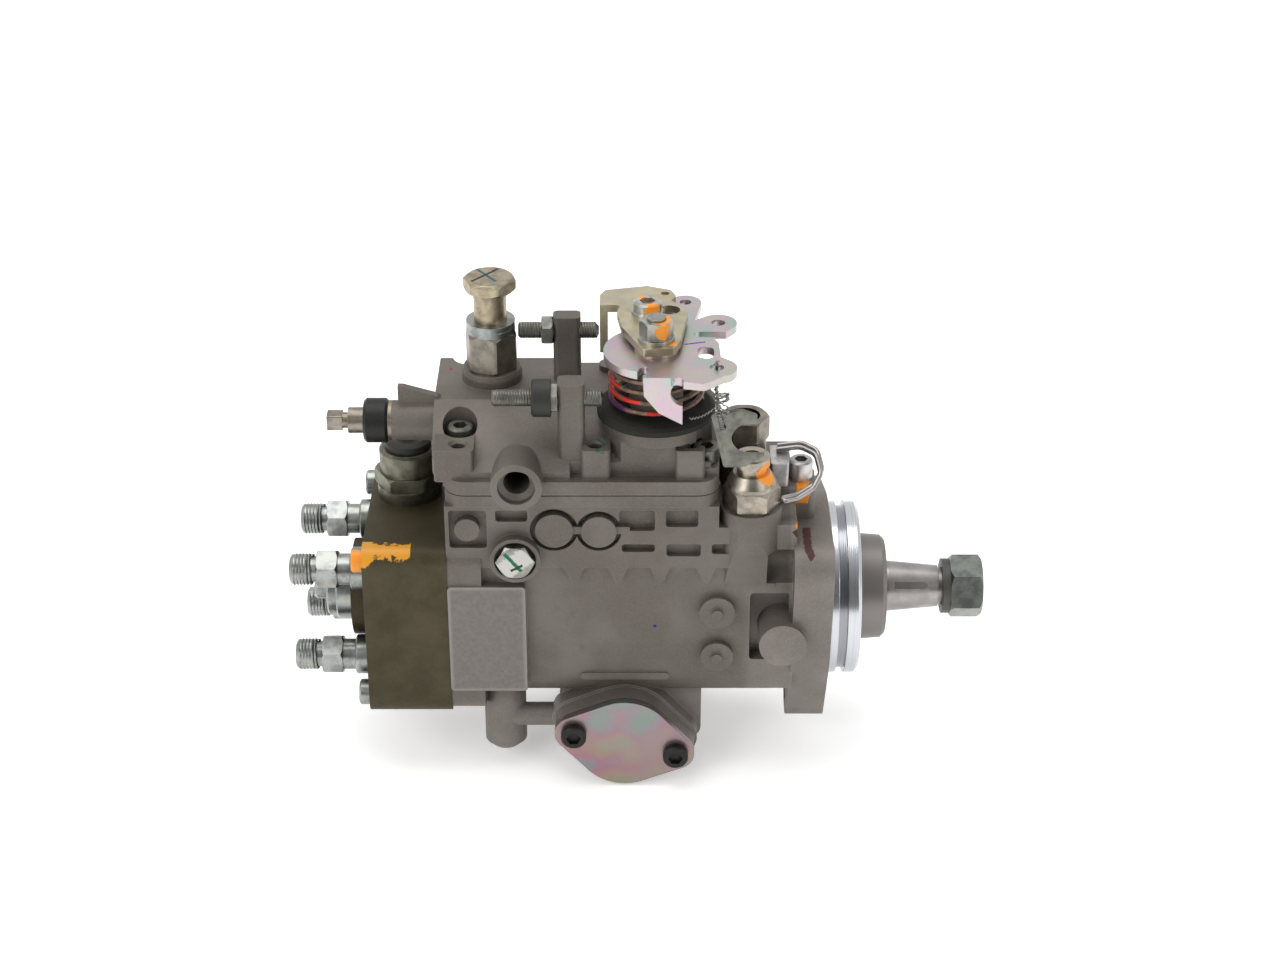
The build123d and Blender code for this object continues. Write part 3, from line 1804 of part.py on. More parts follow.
def governor_spring():
    start = pivot_x + crank_pin_radius + slack
    end = throttle_x + polar(crank_radius, crank_angle)[0] - crank_pin_radius - slack
    return [
        to_right(
            coil(governor_spring_radius, governor_spring_wire, 8, end - start),
            start,
            governor_spring_y,
            lever_spring_z + governor_spring_radius,
        )
    ]


def throttle_shaft():
    bottom = throttle_bottom - bearing_top
    collar = lower_plate_bottom - bearing_top
    neck = upper_plate_bottom + plate_thickness - bearing_top
    shaft = turned(
        (0, bottom),
        (throttle_radius, bottom),
        (throttle_radius, slack),
        (9.0, slack),
        (9.0, collar),
        (4.5, collar),
        (4.5, neck),
        (3.5, neck),
        (3.5, lever_nut_top - bearing_top + 1.0),
        (0, lever_nut_top - bearing_top + 1.0),
    )
    shaft = upright(shaft, throttle_x, throttle_y, bearing_top)
    side, across = polar(crank_radius, crank_angle)
    height = throttle_bottom - crank_pin_bottom
    return [
        shaft + upright(
            rod(crank_pin_radius, height + 1),
            throttle_x + side,
            throttle_y + across,
            crank_pin_bottom,
        ),
    ]


def lower_lever():
    plate = Pos(throttle_x, throttle_y) * Circle(lower_disc_radius)
    for x, y, outer, hole in lower_lobes:
        plate += hull_of(((throttle_x, throttle_y, outer + 4), (x, y, outer)))
    for web in lower_webs:
        plate += hull_of(web)
    for cut_out in lower_cuts:
        plate -= hull_of(cut_out)
    plate -= Pos(throttle_x, throttle_y) * Circle(4.5 + thread_gap)
    for x, y, outer, hole in lower_lobes:
        plate -= Pos(x, y) * Circle(hole)
    lever = Pos(0, 0, lower_plate_bottom) * extrude(plate, plate_thickness)
    leg = make_face(Polyline(*leg_outline, close=True)) - Pos(leg_opening[0], leg_opening[1]) * Circle(
        leg_opening[2]
    )
    lever += extrude(Plane.XZ.offset(-leg_face - leg_thickness) * leg, leg_thickness)
    return [lever]


def upper_lever():
    plate = fillet(make_face(Polyline(*upper_outline, close=True)).vertices(), 1.2)
    plate -= Pos(throttle_x, throttle_y) * Circle(4.5 + thread_gap)
    for x, y, hole in upper_holes:
        plate -= Pos(x, y) * Circle(hole)
    lever = Pos(0, 0, upper_plate_bottom) * extrude(plate, plate_thickness)
    left, near = upper_outline[0]
    far = upper_outline[1][1]
    lever += block(
        left,
        left + plate_thickness,
        near,
        far,
        stop_tab_bottom,
        upper_plate_bottom + plate_thickness,
    )
    spacer = tube(8.0, 4.5 + thread_gap, upper_plate_bottom - lower_plate_bottom - plate_thickness)
    lever += upright(spacer, throttle_x, throttle_y, lower_plate_bottom + plate_thickness)
    return [lever]


def lever_nut():
    height = lever_nut_top - upper_plate_bottom - plate_thickness
    flange_disc = turned((3.5 + thread_gap, 0), (6.8, 0), (6.8, 1.4), (3.5 + thread_gap, 1.8))
    crown = turned(
        (3.5 + thread_gap, 1),
        (6.3, 1),
        (6.3, height - 0.8),
        (5.5, height),
        (3.5 + thread_gap, height),
    )
    nut = flange_disc + (crown & hex_bar(lever_nut_flats, height))
    return [upright(nut, throttle_x, throttle_y, upper_plate_bottom + plate_thickness)]


def lever_screw():
    top = upper_plate_bottom + plate_thickness
    washer = tube(6.0, screw_radius + thread_gap, 0.9)
    length = top + 0.9 - lower_plate_bottom + 1.5
    screw = cap_screw(5.3, 4.0, screw_radius, length)
    return [
        upright(washer, lever_screw_x, lever_screw_y, top),
        upright(screw, lever_screw_x, lever_screw_y, top + 0.9),
    ]


def return_spring():
    length = lower_plate_bottom - spring_seat_top - 2 * slack
    spring = coil(return_spring_radius, return_spring_wire, return_spring_turns, length)
    return [upright(spring, throttle_x, throttle_y, spring_seat_top + slack)]


def lock_plate():
    plate = fillet(make_face(Polyline(*lock_outline, close=True)).vertices(), 1.0)
    bite_x, bite_z, bite = lock_bite
    plate -= hull_of(((bite_x, bite_z, bite), (bite_x + 12, bite_z, bite)))
    plate -= Pos(lock_hole[0], lock_hole[1]) * Circle(lock_hole[2])
    return [extrude(Plane.XZ.offset(-lock_plate_y - lock_plate_thickness) * plate, lock_plate_thickness)]


def seal_wire():
    hole_x, hole_y = lower_lobes[1][:2]
    path = FilletPolyline(
        (hole_x, hole_y, 114.5),
        (hole_x, hole_y, 103.0),
        (-44.0, -38.2, 95.5),
        (lock_hole[0], -38.4, lock_hole[1]),
        (lock_hole[0], -32.6, lock_hole[1]),
        radius=[3.0, 3.0, 1.5],
    )
    return [sweep(Plane(path @ 0, z_dir=path % 0) * Circle(seal_wire_radius), path=path)]


def delivery_holders():
    face = head_face - head_thickness
    holder = delivery_holder()
    return {
        f"delivery_holder_{index + 1}": [to_left(holder, face, y, z)]
        for index, (y, z) in enumerate(corners(outlet_place))
    }


timing_near, timing_far = timing_covers()

nodes = {
    "pump_housing": [housing()],
    "distributor_head": [distributor_head()],
    "head_screws": head_screws(),
    "seals": head_seal() + cover_gasket() + timing_gaskets() + shaft_seal(),
    "centre_plug": centre_plug() + bleed_screw(),
    "plunger_barrel": plunger_barrel(),
    "shut_off_body": shut_off_body(),
    "shut_off_cap": shut_off_cap(),
    "shut_off_terminal": shut_off_terminal(),
    "shut_off_armature": shut_off_armature(),
    "shut_off_spring": shut_off_spring(),
    "governor_cover": [governor_cover()],
    "cover_screws": cover_screw_set(),
    "overflow_adapter": overflow_adapter(),
    "overflow_washers": overflow_washers(),
    "overflow_bolt": overflow_bolt(),
    "idle_screw": idle_screw() + idle_nut(),
    "max_speed_screw": max_speed_screw() + max_speed_nut(),
    "max_speed_cap": max_speed_cap(),
    "full_load_screw": full_load_screw() + full_load_washer(),
    "full_load_nut": full_load_nut(),
    "spring_seat": spring_seat(),
    "inlet_union": inlet_union(),
    "regulating_valve": regulating_valve(),
    "banjo_block": banjo_block() + block_screw(),
    "wire_bail": wire_bail(),
    "timing_cover_near": timing_near,
    "timing_cover_far": timing_far,
    "timing_screws": timing_screw_set(),
    "governor_pins": pivot_bolts() + governor_shaft(),
    "shaft_bush": shaft_bush(),
    "pump_ring": pump_ring() + pump_plates(),
    "pump_rotor": pump_rotor() + pump_vanes(),
    "drive_shaft": drive_shaft(),
    "lock_washer": lock_washer(),
    "shaft_nut": shaft_nut(),
    "drive_gear": drive_gear() + coupling_disc(),
    "cam_plate": cam_plate() + plunger(),
    "roller_ring": roller_ring() + rollers(),
    "timing_piston": timing_piston(),
    "timing_spring": timing_spring(),
    "plunger_springs": plunger_springs() + spring_bridge(),
    "control_sleeve": control_sleeve(),
    "governor_gear": governor_gear() + flyweights(),
    "governor_pusher": governor_pusher(),
    "governor_lever": governor_lever(),
    "governor_spring": governor_spring(),
    "throttle_shaft": throttle_shaft(),
    "lower_lever": lower_lever(),
    "upper_lever": upper_lever(),
    "lever_nut": lever_nut(),
    "lever_screw": lever_screw(),
    "return_spring": return_spring(),
    "lock_plate": lock_plate(),
    "seal_wire": seal_wire(),
}
nodes.update(delivery_holders())

for name, pieces in nodes.items():
    export_step(Compound(children=pieces) if len(pieces) > 1 else pieces[0], f"parts/{name}.step")
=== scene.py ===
import math

import bmesh
import bpy
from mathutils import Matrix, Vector


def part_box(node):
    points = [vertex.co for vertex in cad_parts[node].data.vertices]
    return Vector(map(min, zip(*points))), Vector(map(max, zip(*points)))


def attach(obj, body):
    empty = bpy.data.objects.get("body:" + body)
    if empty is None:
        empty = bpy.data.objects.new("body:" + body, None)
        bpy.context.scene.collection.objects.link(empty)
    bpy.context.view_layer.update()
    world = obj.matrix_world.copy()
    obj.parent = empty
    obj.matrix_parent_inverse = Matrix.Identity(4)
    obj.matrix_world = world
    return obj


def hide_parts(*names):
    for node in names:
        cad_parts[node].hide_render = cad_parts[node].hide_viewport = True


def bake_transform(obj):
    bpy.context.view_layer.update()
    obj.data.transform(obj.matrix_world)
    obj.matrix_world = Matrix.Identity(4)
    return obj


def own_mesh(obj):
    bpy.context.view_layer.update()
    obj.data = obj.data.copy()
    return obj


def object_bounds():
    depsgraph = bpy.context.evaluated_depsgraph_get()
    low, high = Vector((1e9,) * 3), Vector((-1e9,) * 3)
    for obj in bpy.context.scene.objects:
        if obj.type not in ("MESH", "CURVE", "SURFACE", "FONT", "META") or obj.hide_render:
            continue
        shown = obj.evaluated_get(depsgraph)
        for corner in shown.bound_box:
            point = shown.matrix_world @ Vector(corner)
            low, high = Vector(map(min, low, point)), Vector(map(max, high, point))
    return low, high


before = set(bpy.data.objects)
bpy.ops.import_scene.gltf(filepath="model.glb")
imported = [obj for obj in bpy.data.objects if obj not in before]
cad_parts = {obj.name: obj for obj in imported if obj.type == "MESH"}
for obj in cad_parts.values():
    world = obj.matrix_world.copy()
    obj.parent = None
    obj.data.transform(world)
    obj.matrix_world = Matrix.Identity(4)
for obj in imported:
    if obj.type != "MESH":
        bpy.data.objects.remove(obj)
cad_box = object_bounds()

MM = 0.001

# Sockets of the Mix node when it mixes colours: the share, the two colours and the result
MIX_SHARE, MIX_FIRST, MIX_SECOND, MIX_RESULT = 0, 6, 7, 2

# Places on the part that finishes and marks are fitted to, in millimetres
PILOT_END = 11.9
PILOT_GROOVE = 5.0
PILOT_RADIUS = 20.0
PAD = ((-146.6, -38.2, -25.6), (-116.0, -36.5, 22.6))
PAD_INSIDE = ((-144.9, -38.2, -23.9), (-117.6, -36.5, 20.9))
HEAD_HALF = 36.7
HEAD_TOP = 36.9
FLANGE_BACK = -15.5

# Paints and inks
ORANGE = (0.78, 0.27, 0.012)
HEAD_ORANGE = (0.62, 0.27, 0.015)
OXBLOOD = (0.05, 0.012, 0.01)
GREEN = (0.01, 0.12, 0.07)
TEAL = (0.02, 0.13, 0.12)
BLUE = (0.02, 0.03, 0.16)
BRIGHT_BLUE = (0.03, 0.04, 0.4)
RED = (0.3, 0.03, 0.02)
INK = (0.02, 0.025, 0.03)
WHITE_WASH = (0.42, 0.42, 0.39)

# Lines drawn by hand: the face, start and end in that face's plane, width, and where the face begins.
# A top face is drawn in X and Y and begins at a height, a near face in X and Z and begins at a Y.
# The lines of a group end with their colour and strength.
FLANGE_LINE = ("near", (-15.2, 44.5), (-8.2, 36.5), 1.3, -20.0)
COVER_LINES = (
    ("near", (-145.0, 83.0), (-142.2, 80.6), 0.5, -19.0, GREEN, 0.8),
    ("near", (-89.4, 79.0), (-86.0, 78.2), 0.4, -24.0, GREEN, 0.8),
)
LEVER_LINES = (("top", (-56.6, -12.1), (-48.9, -10.0), 0.5, 111.0, BRIGHT_BLUE, 1.0),)
BOLT_LINES = (
    ("top", (-134.7, 17.9), (-126.6, 6.3), 0.7, 128.0, TEAL, 1.0),
    ("top", (-135.8, 6.3), (-126.3, 17.9), 0.7, 128.0, INK, 1.0),
)
PLUG_LINES = (
    ("near", (-124.6, 31.0), (-115.0, 38.6), 4.2, -38.5, WHITE_WASH, 1.0),
    ("near", (-123.7, 39.0), (-117.5, 31.4), 0.8, -38.5, (0.02, 0.12, 0.07), 1.0),
    ("near", (-121.5, 31.6), (-117.0, 34.0), 0.6, -38.5, (0.03, 0.05, 0.04), 1.0),
)

# Dots and blobs of paint: middle and radius
CAST_DOTS = (
    ((-67.3, -33.0, 2.2), 0.8, BLUE),
    ((-52.2, -34.5, -24.6), 0.7, BLUE),
    ((-145.6, 17.3, 87.0), 0.9, RED),
)
HEAD_SCREW_PAINT = (((-180.0, -33.0, 31.0), 4.6),)
VALVE_PAINT = (((-25.5, -31.0, 68.0), 4.6),)
NUT_PAINT = (((-65.5, -17.0, 124.5), 4.2), ((-64.5, -21.5, 121.5), 3.0))
LEVER_PAINT = (((-67.5, -5.0, 116.6), 4.2), ((-60.8, -21.0, 116.6), 1.6))
SCREW_PAINT = (((-68.2, 2.0, 119.0), 3.2), ((-72.5, 9.0, 121.2), 1.5))

# Left, right, bottom and top of the paint bands on the return spring's near side
RED_BANDS = (
    (-84.4, -80.4, 97.0, 103.0),
    (-79.9, -73.3, 96.2, 101.5),
    (-70.5, -65.7, 91.5, 95.2),
    (-57.2, -54.4, 88.5, 92.2),
)
PURPLE_BANDS = (
    (-84.8, -82.8, 92.5, 97.0),
    (-83.3, -78.6, 92.4, 95.9),
    (-79.0, -70.2, 88.4, 91.6),
)
BAND_NEAR, BAND_FAR = -36.0, -15.0

# How the tint of a passivated plate wanders: noise value and colour
PINK_STOPS = (
    (0.3, (0.25, 0.26, 0.18)),
    (0.42, (0.32, 0.22, 0.18)),
    (0.52, (0.32, 0.17, 0.2)),
    (0.6, (0.25, 0.21, 0.25)),
    (0.7, (0.18, 0.26, 0.21)),
)
PALE_STOPS = (
    (0.3, (0.45, 0.46, 0.38)),
    (0.42, (0.5, 0.44, 0.42)),
    (0.52, (0.52, 0.39, 0.46)),
    (0.62, (0.4, 0.45, 0.43)),
    (0.74, (0.34, 0.46, 0.37)),
)
OLIVE_STOPS = (
    (0.3, (0.42, 0.38, 0.24)),
    (0.45, (0.52, 0.47, 0.34)),
    (0.6, (0.48, 0.4, 0.25)),
    (0.75, (0.36, 0.36, 0.27)),
)


class Wire:
    """A number or a vector inside a finish. Its operators add the nodes that work it out."""

    def __init__(self, finish, socket):
        self.finish = finish
        self.socket = socket

    def math(self, operation, *values):
        return self.finish.add("ShaderNodeMath", {"operation": operation}, dict(enumerate(values)))

    def __add__(self, other):
        return self.math("ADD", self, other)

    def __sub__(self, other):
        return self.math("SUBTRACT", self, other)

    def __rsub__(self, other):
        return self.math("SUBTRACT", other, self)

    def __mul__(self, other):
        return self.math("MULTIPLY", self, other)

    def __truediv__(self, other):
        return self.math("DIVIDE", self, other)

    def __pow__(self, other):
        return self.math("POWER", self, other)

    def __lt__(self, other):
        return self.math("LESS_THAN", self, other)

    def __gt__(self, other):
        return self.math("GREATER_THAN", self, other)

    def __abs__(self):
        return self.math("ABSOLUTE", self)

    __radd__ = __add__
    __rmul__ = __mul__

    def sine(self):
        return self.math("SINE", self)

    def most(self, other):
        return self.math("MAXIMUM", self, other)

    def fade(self, low, high):
        """0 below low, 1 above high, smooth between. low may be above high."""
        return self.finish.add(
            "ShaderNodeMapRange",
            {"interpolation_type": "SMOOTHSTEP"},
            {"Value": self, "From Min": low, "From Max": high},
        )


class Finish:
    """A material and the one way to add nodes to it."""

    def __init__(self, name, **constants):
        self.material = bpy.data.materials.new(name)
        self.material.use_nodes = True
        self.tree = self.material.node_tree
        self.shader = self.tree.nodes["Principled BSDF"]
        for key, value in constants.items():
            self.shader.inputs[key.replace("_", " ")].default_value = value
        self._place = None

    def add(self, kind, settings=None, inputs=None, output=0):
        """A new node with its settings and inputs, as the wire of one of its outputs."""
        node = self.tree.nodes.new(kind)
        for key, value in (settings or {}).items():
            if key == "stops":
                self.set_stops(node.color_ramp, value)
            else:
                setattr(node, key, value)
        for key, value in (inputs or {}).items():
            self.feed(node.inputs[key], value)
        return Wire(self, node.outputs[output])

    def set_stops(self, ramp, stops):
        while len(ramp.elements) < len(stops):
            ramp.elements.new(1.0)
        for element, (position, colour) in zip(ramp.elements, stops):
            element.position = position
            element.color = (*colour, 1.0)

    def feed(self, socket, value):
        if isinstance(value, Wire):
            self.tree.links.new(value.socket, socket)
        elif socket.type == "RGBA" and len(value) == 3:
            socket.default_value = (*value, 1.0)
        else:
            socket.default_value = value

    def give(self, socket, value):
        self.feed(self.shader.inputs[socket], value)

    def place(self):
        """X, Y and Z of the point on the part, in millimetres."""
        return self.whole_place()[1]

    def whole_place(self):
        """The point on the part in millimetres, as a vector and as its three numbers."""
        if self._place is None:
            where = self.add("ShaderNodeTexCoord", output="Object")
            scaled = self.add("ShaderNodeVectorMath", {"operation": "SCALE"}, {0: where, "Scale": 1.0 / MM})
            node = self.add("ShaderNodeSeparateXYZ", None, {0: scaled}).socket.node
            self._place = (scaled, [Wire(self, out) for out in node.outputs])
        return self._place

    def vector(self, x, y, z):
        return self.add("ShaderNodeCombineXYZ", None, {0: x, 1: y, 2: z})

    def noise(self, size, detail, rough=0.55, at=None):
        """Noise from 0 to 1 with grains of about this size in millimetres."""
        where = self.whole_place()[0] if at is None else at
        inputs = {"Vector": where, "Scale": 1.0 / size, "Detail": detail, "Roughness": rough}
        return self.add("ShaderNodeTexNoise", None, inputs)

    def mix(self, share, first, second, how="MIX"):
        """Two colours mixed. With how MULTIPLY, the second darkens the first."""
        settings = {"data_type": "RGBA", "blend_type": how}
        inputs = {MIX_SHARE: share, MIX_FIRST: first, MIX_SECOND: second}
        return self.add("ShaderNodeMix", settings, inputs, MIX_RESULT)

    def blend(self, share, first, second):
        """Two numbers mixed."""
        return share * second + (1.0 - share) * first

    def ramp(self, value, *stops):
        return self.add("ShaderNodeValToRGB", {"stops": stops}, {0: value})

    def bump(self, height, depth, edge=0.0):
        """Raise the surface by height times depth in millimetres, with edges rounded by edge."""
        inputs = {"Height": height, "Distance": depth * MM, "Strength": 1.0}
        if edge:
            inputs["Normal"] = self.add("ShaderNodeBevel", {"samples": 6}, {"Radius": edge * MM})
        self.give("Normal", self.add("ShaderNodeBump", None, inputs))

    def box_mask(self, low, high, soft):
        """1 inside a box given in millimetres, by its two corners."""
        mask = None
        for value, start, end in zip(self.place(), low, high):
            part = value.fade(start - soft, start + soft) * value.fade(end + soft, end - soft)
            mask = part if mask is None else mask * part
        return mask

    def distance(self, middle):
        """How far the point is from a place given in millimetres."""
        x, y, z = self.place()
        return ((x - middle[0]) ** 2.0 + (y - middle[1]) ** 2.0 + (z - middle[2]) ** 2.0) ** 0.5

    def edge_wear(self, reach):
        """1 along sharp edges, from how far a rounded edge turns the surface."""
        bent = self.add("ShaderNodeBevel", {"samples": 4}, {"Radius": reach * MM})
        straight = self.add("ShaderNodeNewGeometry", output="Normal")
        inputs = {0: bent, 1: straight}
        agreement = self.add("ShaderNodeVectorMath", {"operation": "DOT_PRODUCT"}, inputs, "Value")
        return agreement.fade(0.985, 0.8)


def shaded(colour, by):
    """A colour times a number, never above white."""
    return tuple(min(1.0, part * by) for part in colour)


# Paint marks


def brush_line(finish, plane, start, end, width):
    """1 on a ragged line, in the plane of two of the point's numbers."""
    first, second = plane
    run, rise = end[0] - start[0], end[1] - start[1]
    length = math.hypot(run, rise)
    along = ((first - start[0]) * run + (second - start[1]) * rise) / length
    across = abs(((first - start[0]) * rise - (second - start[1]) * run) / length)
    ragged = finish.noise(1.2, 2.0, 0.6)
    edge = across + (ragged - 0.5) * width
    return edge.fade(width, width * 0.75) * (along > 0.0) * (along < length)


def drawn_line(finish, face, start, end, width, begins):
    """1 where a hand-drawn line shows."""
    x, y, z = finish.place()
    plane, shown = ((x, y), z > begins) if face == "top" else ((x, z), y < begins)
    return brush_line(finish, plane, start, end, width) * shown


def draw_lines(finish, colour, lines):
    for *line, ink, strength in lines:
        share = drawn_line(finish, *line)
        colour = finish.mix(share * strength if strength < 1.0 else share, colour, ink)
    return colour


def draw_dots(finish, colour, dots):
    for middle, radius, ink in dots:
        colour = finish.mix(finish.distance(middle).fade(radius, radius * 0.7), colour, ink)
    return colour


def orange_blobs(finish, blobs):
    """1 inside ragged blobs of marking paint."""
    ragged = (finish.noise(2.0, 3.0, 0.6) - 0.5) * 2.5
    painted = None
    for middle, radius in blobs:
        blob = (finish.distance(middle) + ragged).fade(radius + 0.2, radius - 0.2)
        painted = blob if painted is None else painted.most(blob)
    return painted


def flange_paint(finish):
    """The orange drip over the flange's top edge, on the near side."""
    x, y, z = finish.place()
    ragged = finish.noise(3.0, 2.0, 0.5)
    middle = -11.5 + (z - 46.0) * 0.12
    width = 2.6 + (ragged - 0.5) * 3.4
    streak = abs(x - middle).fade(width + 0.3, width - 0.2)
    return streak * z.fade(45.0, 46.0) * (y < -8.0) * (x > FLANGE_BACK)


def head_paint(finish):
    """The orange brush line along the head's near top edge."""
    x, y, z = finish.place()
    ragged = finish.noise(2.4, 3.0, 0.6)
    drop = (HEAD_TOP - z) + (y + HEAD_HALF).most(0.0) * 0.5
    reach = 3.6 + (ragged - 0.5) * 4.6 + x.fade(-173.0, -177.0) * 3.0
    return drop.fade(reach + 0.3, reach - 0.3) * (x < -159.5) * (y < -28.0)


# Finishes


def cast_skin(finish, grain):
    """The as-cast skin: clouds, oil stains, grains, rubbed edges, and painted shade on the wall, cover and
    tower away from flange and foot.
    """
    x, _, z = finish.place()
    cloud = finish.noise(28.0, 3.0, 0.55)
    stain = finish.noise(7.0, 4.0, 0.6)
    skin = finish.mix(cloud.fade(0.35, 0.68), (0.168, 0.149, 0.132), (0.225, 0.203, 0.186))
    skin = finish.mix(stain.fade(0.55, 0.78) * 0.5, skin, (0.125, 0.108, 0.088))
    skin = finish.mix(grain.fade(0.4, 0.75) * 0.35, skin, (0.3, 0.28, 0.26))
    skin = finish.mix(finish.edge_wear(0.6) * 0.45, skin, (0.36, 0.34, 0.32))
    # Painted shade: the wall and cover left of the flange, and the tower above it, are darkened by
    # multiplying the skin with grey, above the foot.
    left_of_flange = x.fade(-29.0, -35.0)
    tower = z.fade(14.0, 20.0) * x.fade(FLANGE_BACK, FLANGE_BACK - 1.5)
    painted_shade = left_of_flange.most(tower) * z.fade(-36.0, -28.0)
    return finish.mix(painted_shade * 0.9, skin, finish.mix(1.0, skin, (0.7, 0.69, 0.66), "MULTIPLY"))


def turned_metal(finish, hub):
    """The bright pilot with painted shade in its groove, tool marks, and the dull hub."""
    x = finish.place()[0]
    # Painted shade: the groove between the pilot's lands is coloured dark grey.
    groove_shade = abs(x - PILOT_GROOVE).fade(1.9, 1.5)
    bright = finish.mix(groove_shade, (0.74, 0.75, 0.78), (0.2, 0.21, 0.23))
    marks = finish.noise(0.5, 2.0, 0.5, finish.vector(x, 0.0, 0.0))
    bright = finish.mix(marks, bright, (0.36, 0.365, 0.39))
    return finish.mix(hub, bright, (0.2, 0.185, 0.175))


def machined_metal(finish, fine, pad):
    """The milled pad, paler along its rim, and the flange's face."""
    rim = pad * (1.0 - finish.box_mask(*PAD_INSIDE, 0.7))
    machined = finish.mix(fine.fade(0.3, 0.7), (0.136, 0.125, 0.113), (0.162, 0.149, 0.136))
    return finish.mix(rim * 0.7, machined, (0.25, 0.235, 0.215))


def cast_aluminium():
    finish = Finish("cast aluminium", Specular_IOR_Level=0.4)
    x, y, z = finish.place()
    grain = finish.noise(0.7, 4.0, 0.6)
    fine = finish.noise(1.4, 3.0, 0.6)
    radius = (y * y + z * z) ** 0.5
    turned = (x > 0.02) * (radius > PILOT_RADIUS)
    hub = x.fade(PILOT_END, PILOT_END + 0.3)
    pad = finish.box_mask(*PAD, 0.1)
    face = x.fade(-0.06, -0.01) * (x < 0.02)
    stroke = drawn_line(finish, *FLANGE_LINE)
    orange = flange_paint(finish)
    colour = finish.mix(pad.most(face), cast_skin(finish, grain), machined_metal(finish, fine, pad))
    colour = finish.mix(turned, colour, turned_metal(finish, hub))
    colour = finish.mix(stroke, colour, OXBLOOD)
    colour = draw_lines(finish, colour, COVER_LINES)
    colour = draw_dots(finish, colour, CAST_DOTS)
    finish.give("Base Color", finish.mix(orange, colour, ORANGE))
    rough = finish.blend(grain, 0.5, 0.66)
    rough = finish.blend(pad, rough, 0.46)
    rough = finish.blend(turned, rough, finish.blend(hub, 0.2, 0.42))
    finish.give("Roughness", finish.blend(orange, rough, 0.3))
    finish.give("Metallic", finish.blend(turned, finish.blend(orange.most(stroke), 0.55, 0.0), 0.9))
    tool_marks = (x * 9.0).sine() * turned
    height = grain * (1.0 - turned) * (1.0 - pad) + orange * 2.0
    finish.bump(height + fine * pad * 0.2 + tool_marks * 0.04, 0.11, 0.45)
    return finish.material


def phosphate():
    finish = Finish("brown phosphate", Specular_IOR_Level=0.35)
    grain = finish.noise(0.35, 4.0, 0.65)
    cloud = finish.noise(16.0, 4.0, 0.6)
    colour = finish.mix(cloud.fade(0.3, 0.7), (0.036, 0.028, 0.009), (0.06, 0.047, 0.022))
    colour = finish.mix(grain.fade(0.45, 0.8) * 0.4, colour, (0.13, 0.115, 0.09))
    colour = finish.mix(finish.edge_wear(0.35) * 0.35, colour, (0.2, 0.18, 0.15))
    orange = head_paint(finish)
    finish.give("Base Color", finish.mix(orange, colour, HEAD_ORANGE))
    finish.give("Roughness", finish.blend(orange, finish.blend(grain, 0.46, 0.62), 0.35))
    finish.give("Metallic", finish.blend(orange, 0.35, 0.0))
    finish.bump(grain * 0.6 + orange * 1.5, 0.07, 0.35)
    return finish.material


def plated(finish, colour, speck, rough, metal, edge, blobs):
    """What every plated finish ends with: marking paint, gloss and fine grain."""
    gloss = finish.blend(speck, *rough)
    height = speck
    if blobs:
        painted = orange_blobs(finish, blobs)
        colour = finish.mix(painted, colour, ORANGE)
        gloss = finish.blend(painted, gloss, 0.4)
        metal = finish.blend(painted, metal, 0.0)
        height = speck + painted * 6.0
    finish.give("Base Color", colour)
    finish.give("Roughness", gloss)
    finish.give("Metallic", metal)
    finish.bump(height, 0.02, edge)
    return finish.material


def zinc(name="bright zinc", tint=(0.33, 0.345, 0.33), rough=0.24, blobs=(), lines=()):
    """Clear zinc plate with dull and warm clouds and bright edges."""
    finish = Finish(name)
    cloud = finish.noise(5.0, 3.0, 0.6)
    speck = finish.noise(0.5, 3.0, 0.6)
    warm = (tint[0] * 0.95, tint[1] * 0.9, tint[2] * 0.74)
    colour = finish.mix(cloud.fade(0.35, 0.7), tint, shaded(tint, 0.55))
    colour = finish.mix(finish.noise(9.0, 2.0).fade(0.5, 0.75) * 0.5, colour, warm)
    colour = finish.mix(finish.edge_wear(0.3) * 0.4, colour, shaded(tint, 1.7))
    colour = draw_lines(finish, colour, lines)
    return plated(finish, colour, speck, (rough, rough + 0.16), 0.95, 0.25, blobs)


def rainbow_zinc(name, stops, size, grey, blobs=(), lines=()):
    """Yellow passivated plate, whose tint wanders through pink, green and straw."""
    finish = Finish(name)
    tint = finish.ramp(finish.noise(size, 1.4, 0.5), *stops)
    speck = finish.noise(0.6, 3.0, 0.6)
    colour = finish.mix(finish.noise(size * 1.6, 2.0).fade(0.35, 0.65) * 0.5, tint, grey)
    colour = finish.mix(speck.fade(0.5, 0.8) * 0.25, colour, shaded(grey, 0.6))
    colour = draw_lines(finish, colour, lines)
    return plated(finish, colour, speck, (0.26, 0.4), 0.88, 0.3, blobs)


def spring_steel():
    """Brown wire with red and purple marking bands on the return spring's near side."""
    finish = Finish("return spring wire", Metallic=0.6, Roughness=0.4)
    cloud = finish.noise(3.0, 3.0, 0.6)
    colour = finish.mix(cloud.fade(0.35, 0.7), (0.19, 0.12, 0.08), (0.085, 0.05, 0.035))
    for bands, paint in ((PURPLE_BANDS, (0.11, 0.02, 0.09)), (RED_BANDS, (0.5, 0.03, 0.015))):
        for left, right, bottom, top in bands:
            mask = finish.box_mask((left, BAND_NEAR, bottom), (right, BAND_FAR, top), 0.15)
            colour = finish.mix(mask, colour, paint)
    finish.give("Base Color", colour)
    finish.bump(finish.noise(0.4, 3.0, 0.6), 0.02)
    return finish.material


def dark_steel(name, tint, rough, metal):
    """Oiled or blackened steel with pale specks."""
    finish = Finish(name, Metallic=metal)
    speck = finish.noise(0.5, 3.0, 0.6)
    finish.give("Base Color", finish.mix(speck.fade(0.5, 0.8), tint, shaded(tint, 2.2)))
    finish.give("Roughness", finish.blend(speck, rough, rough + 0.14))
    finish.bump(speck, 0.02, 0.25)
    return finish.material


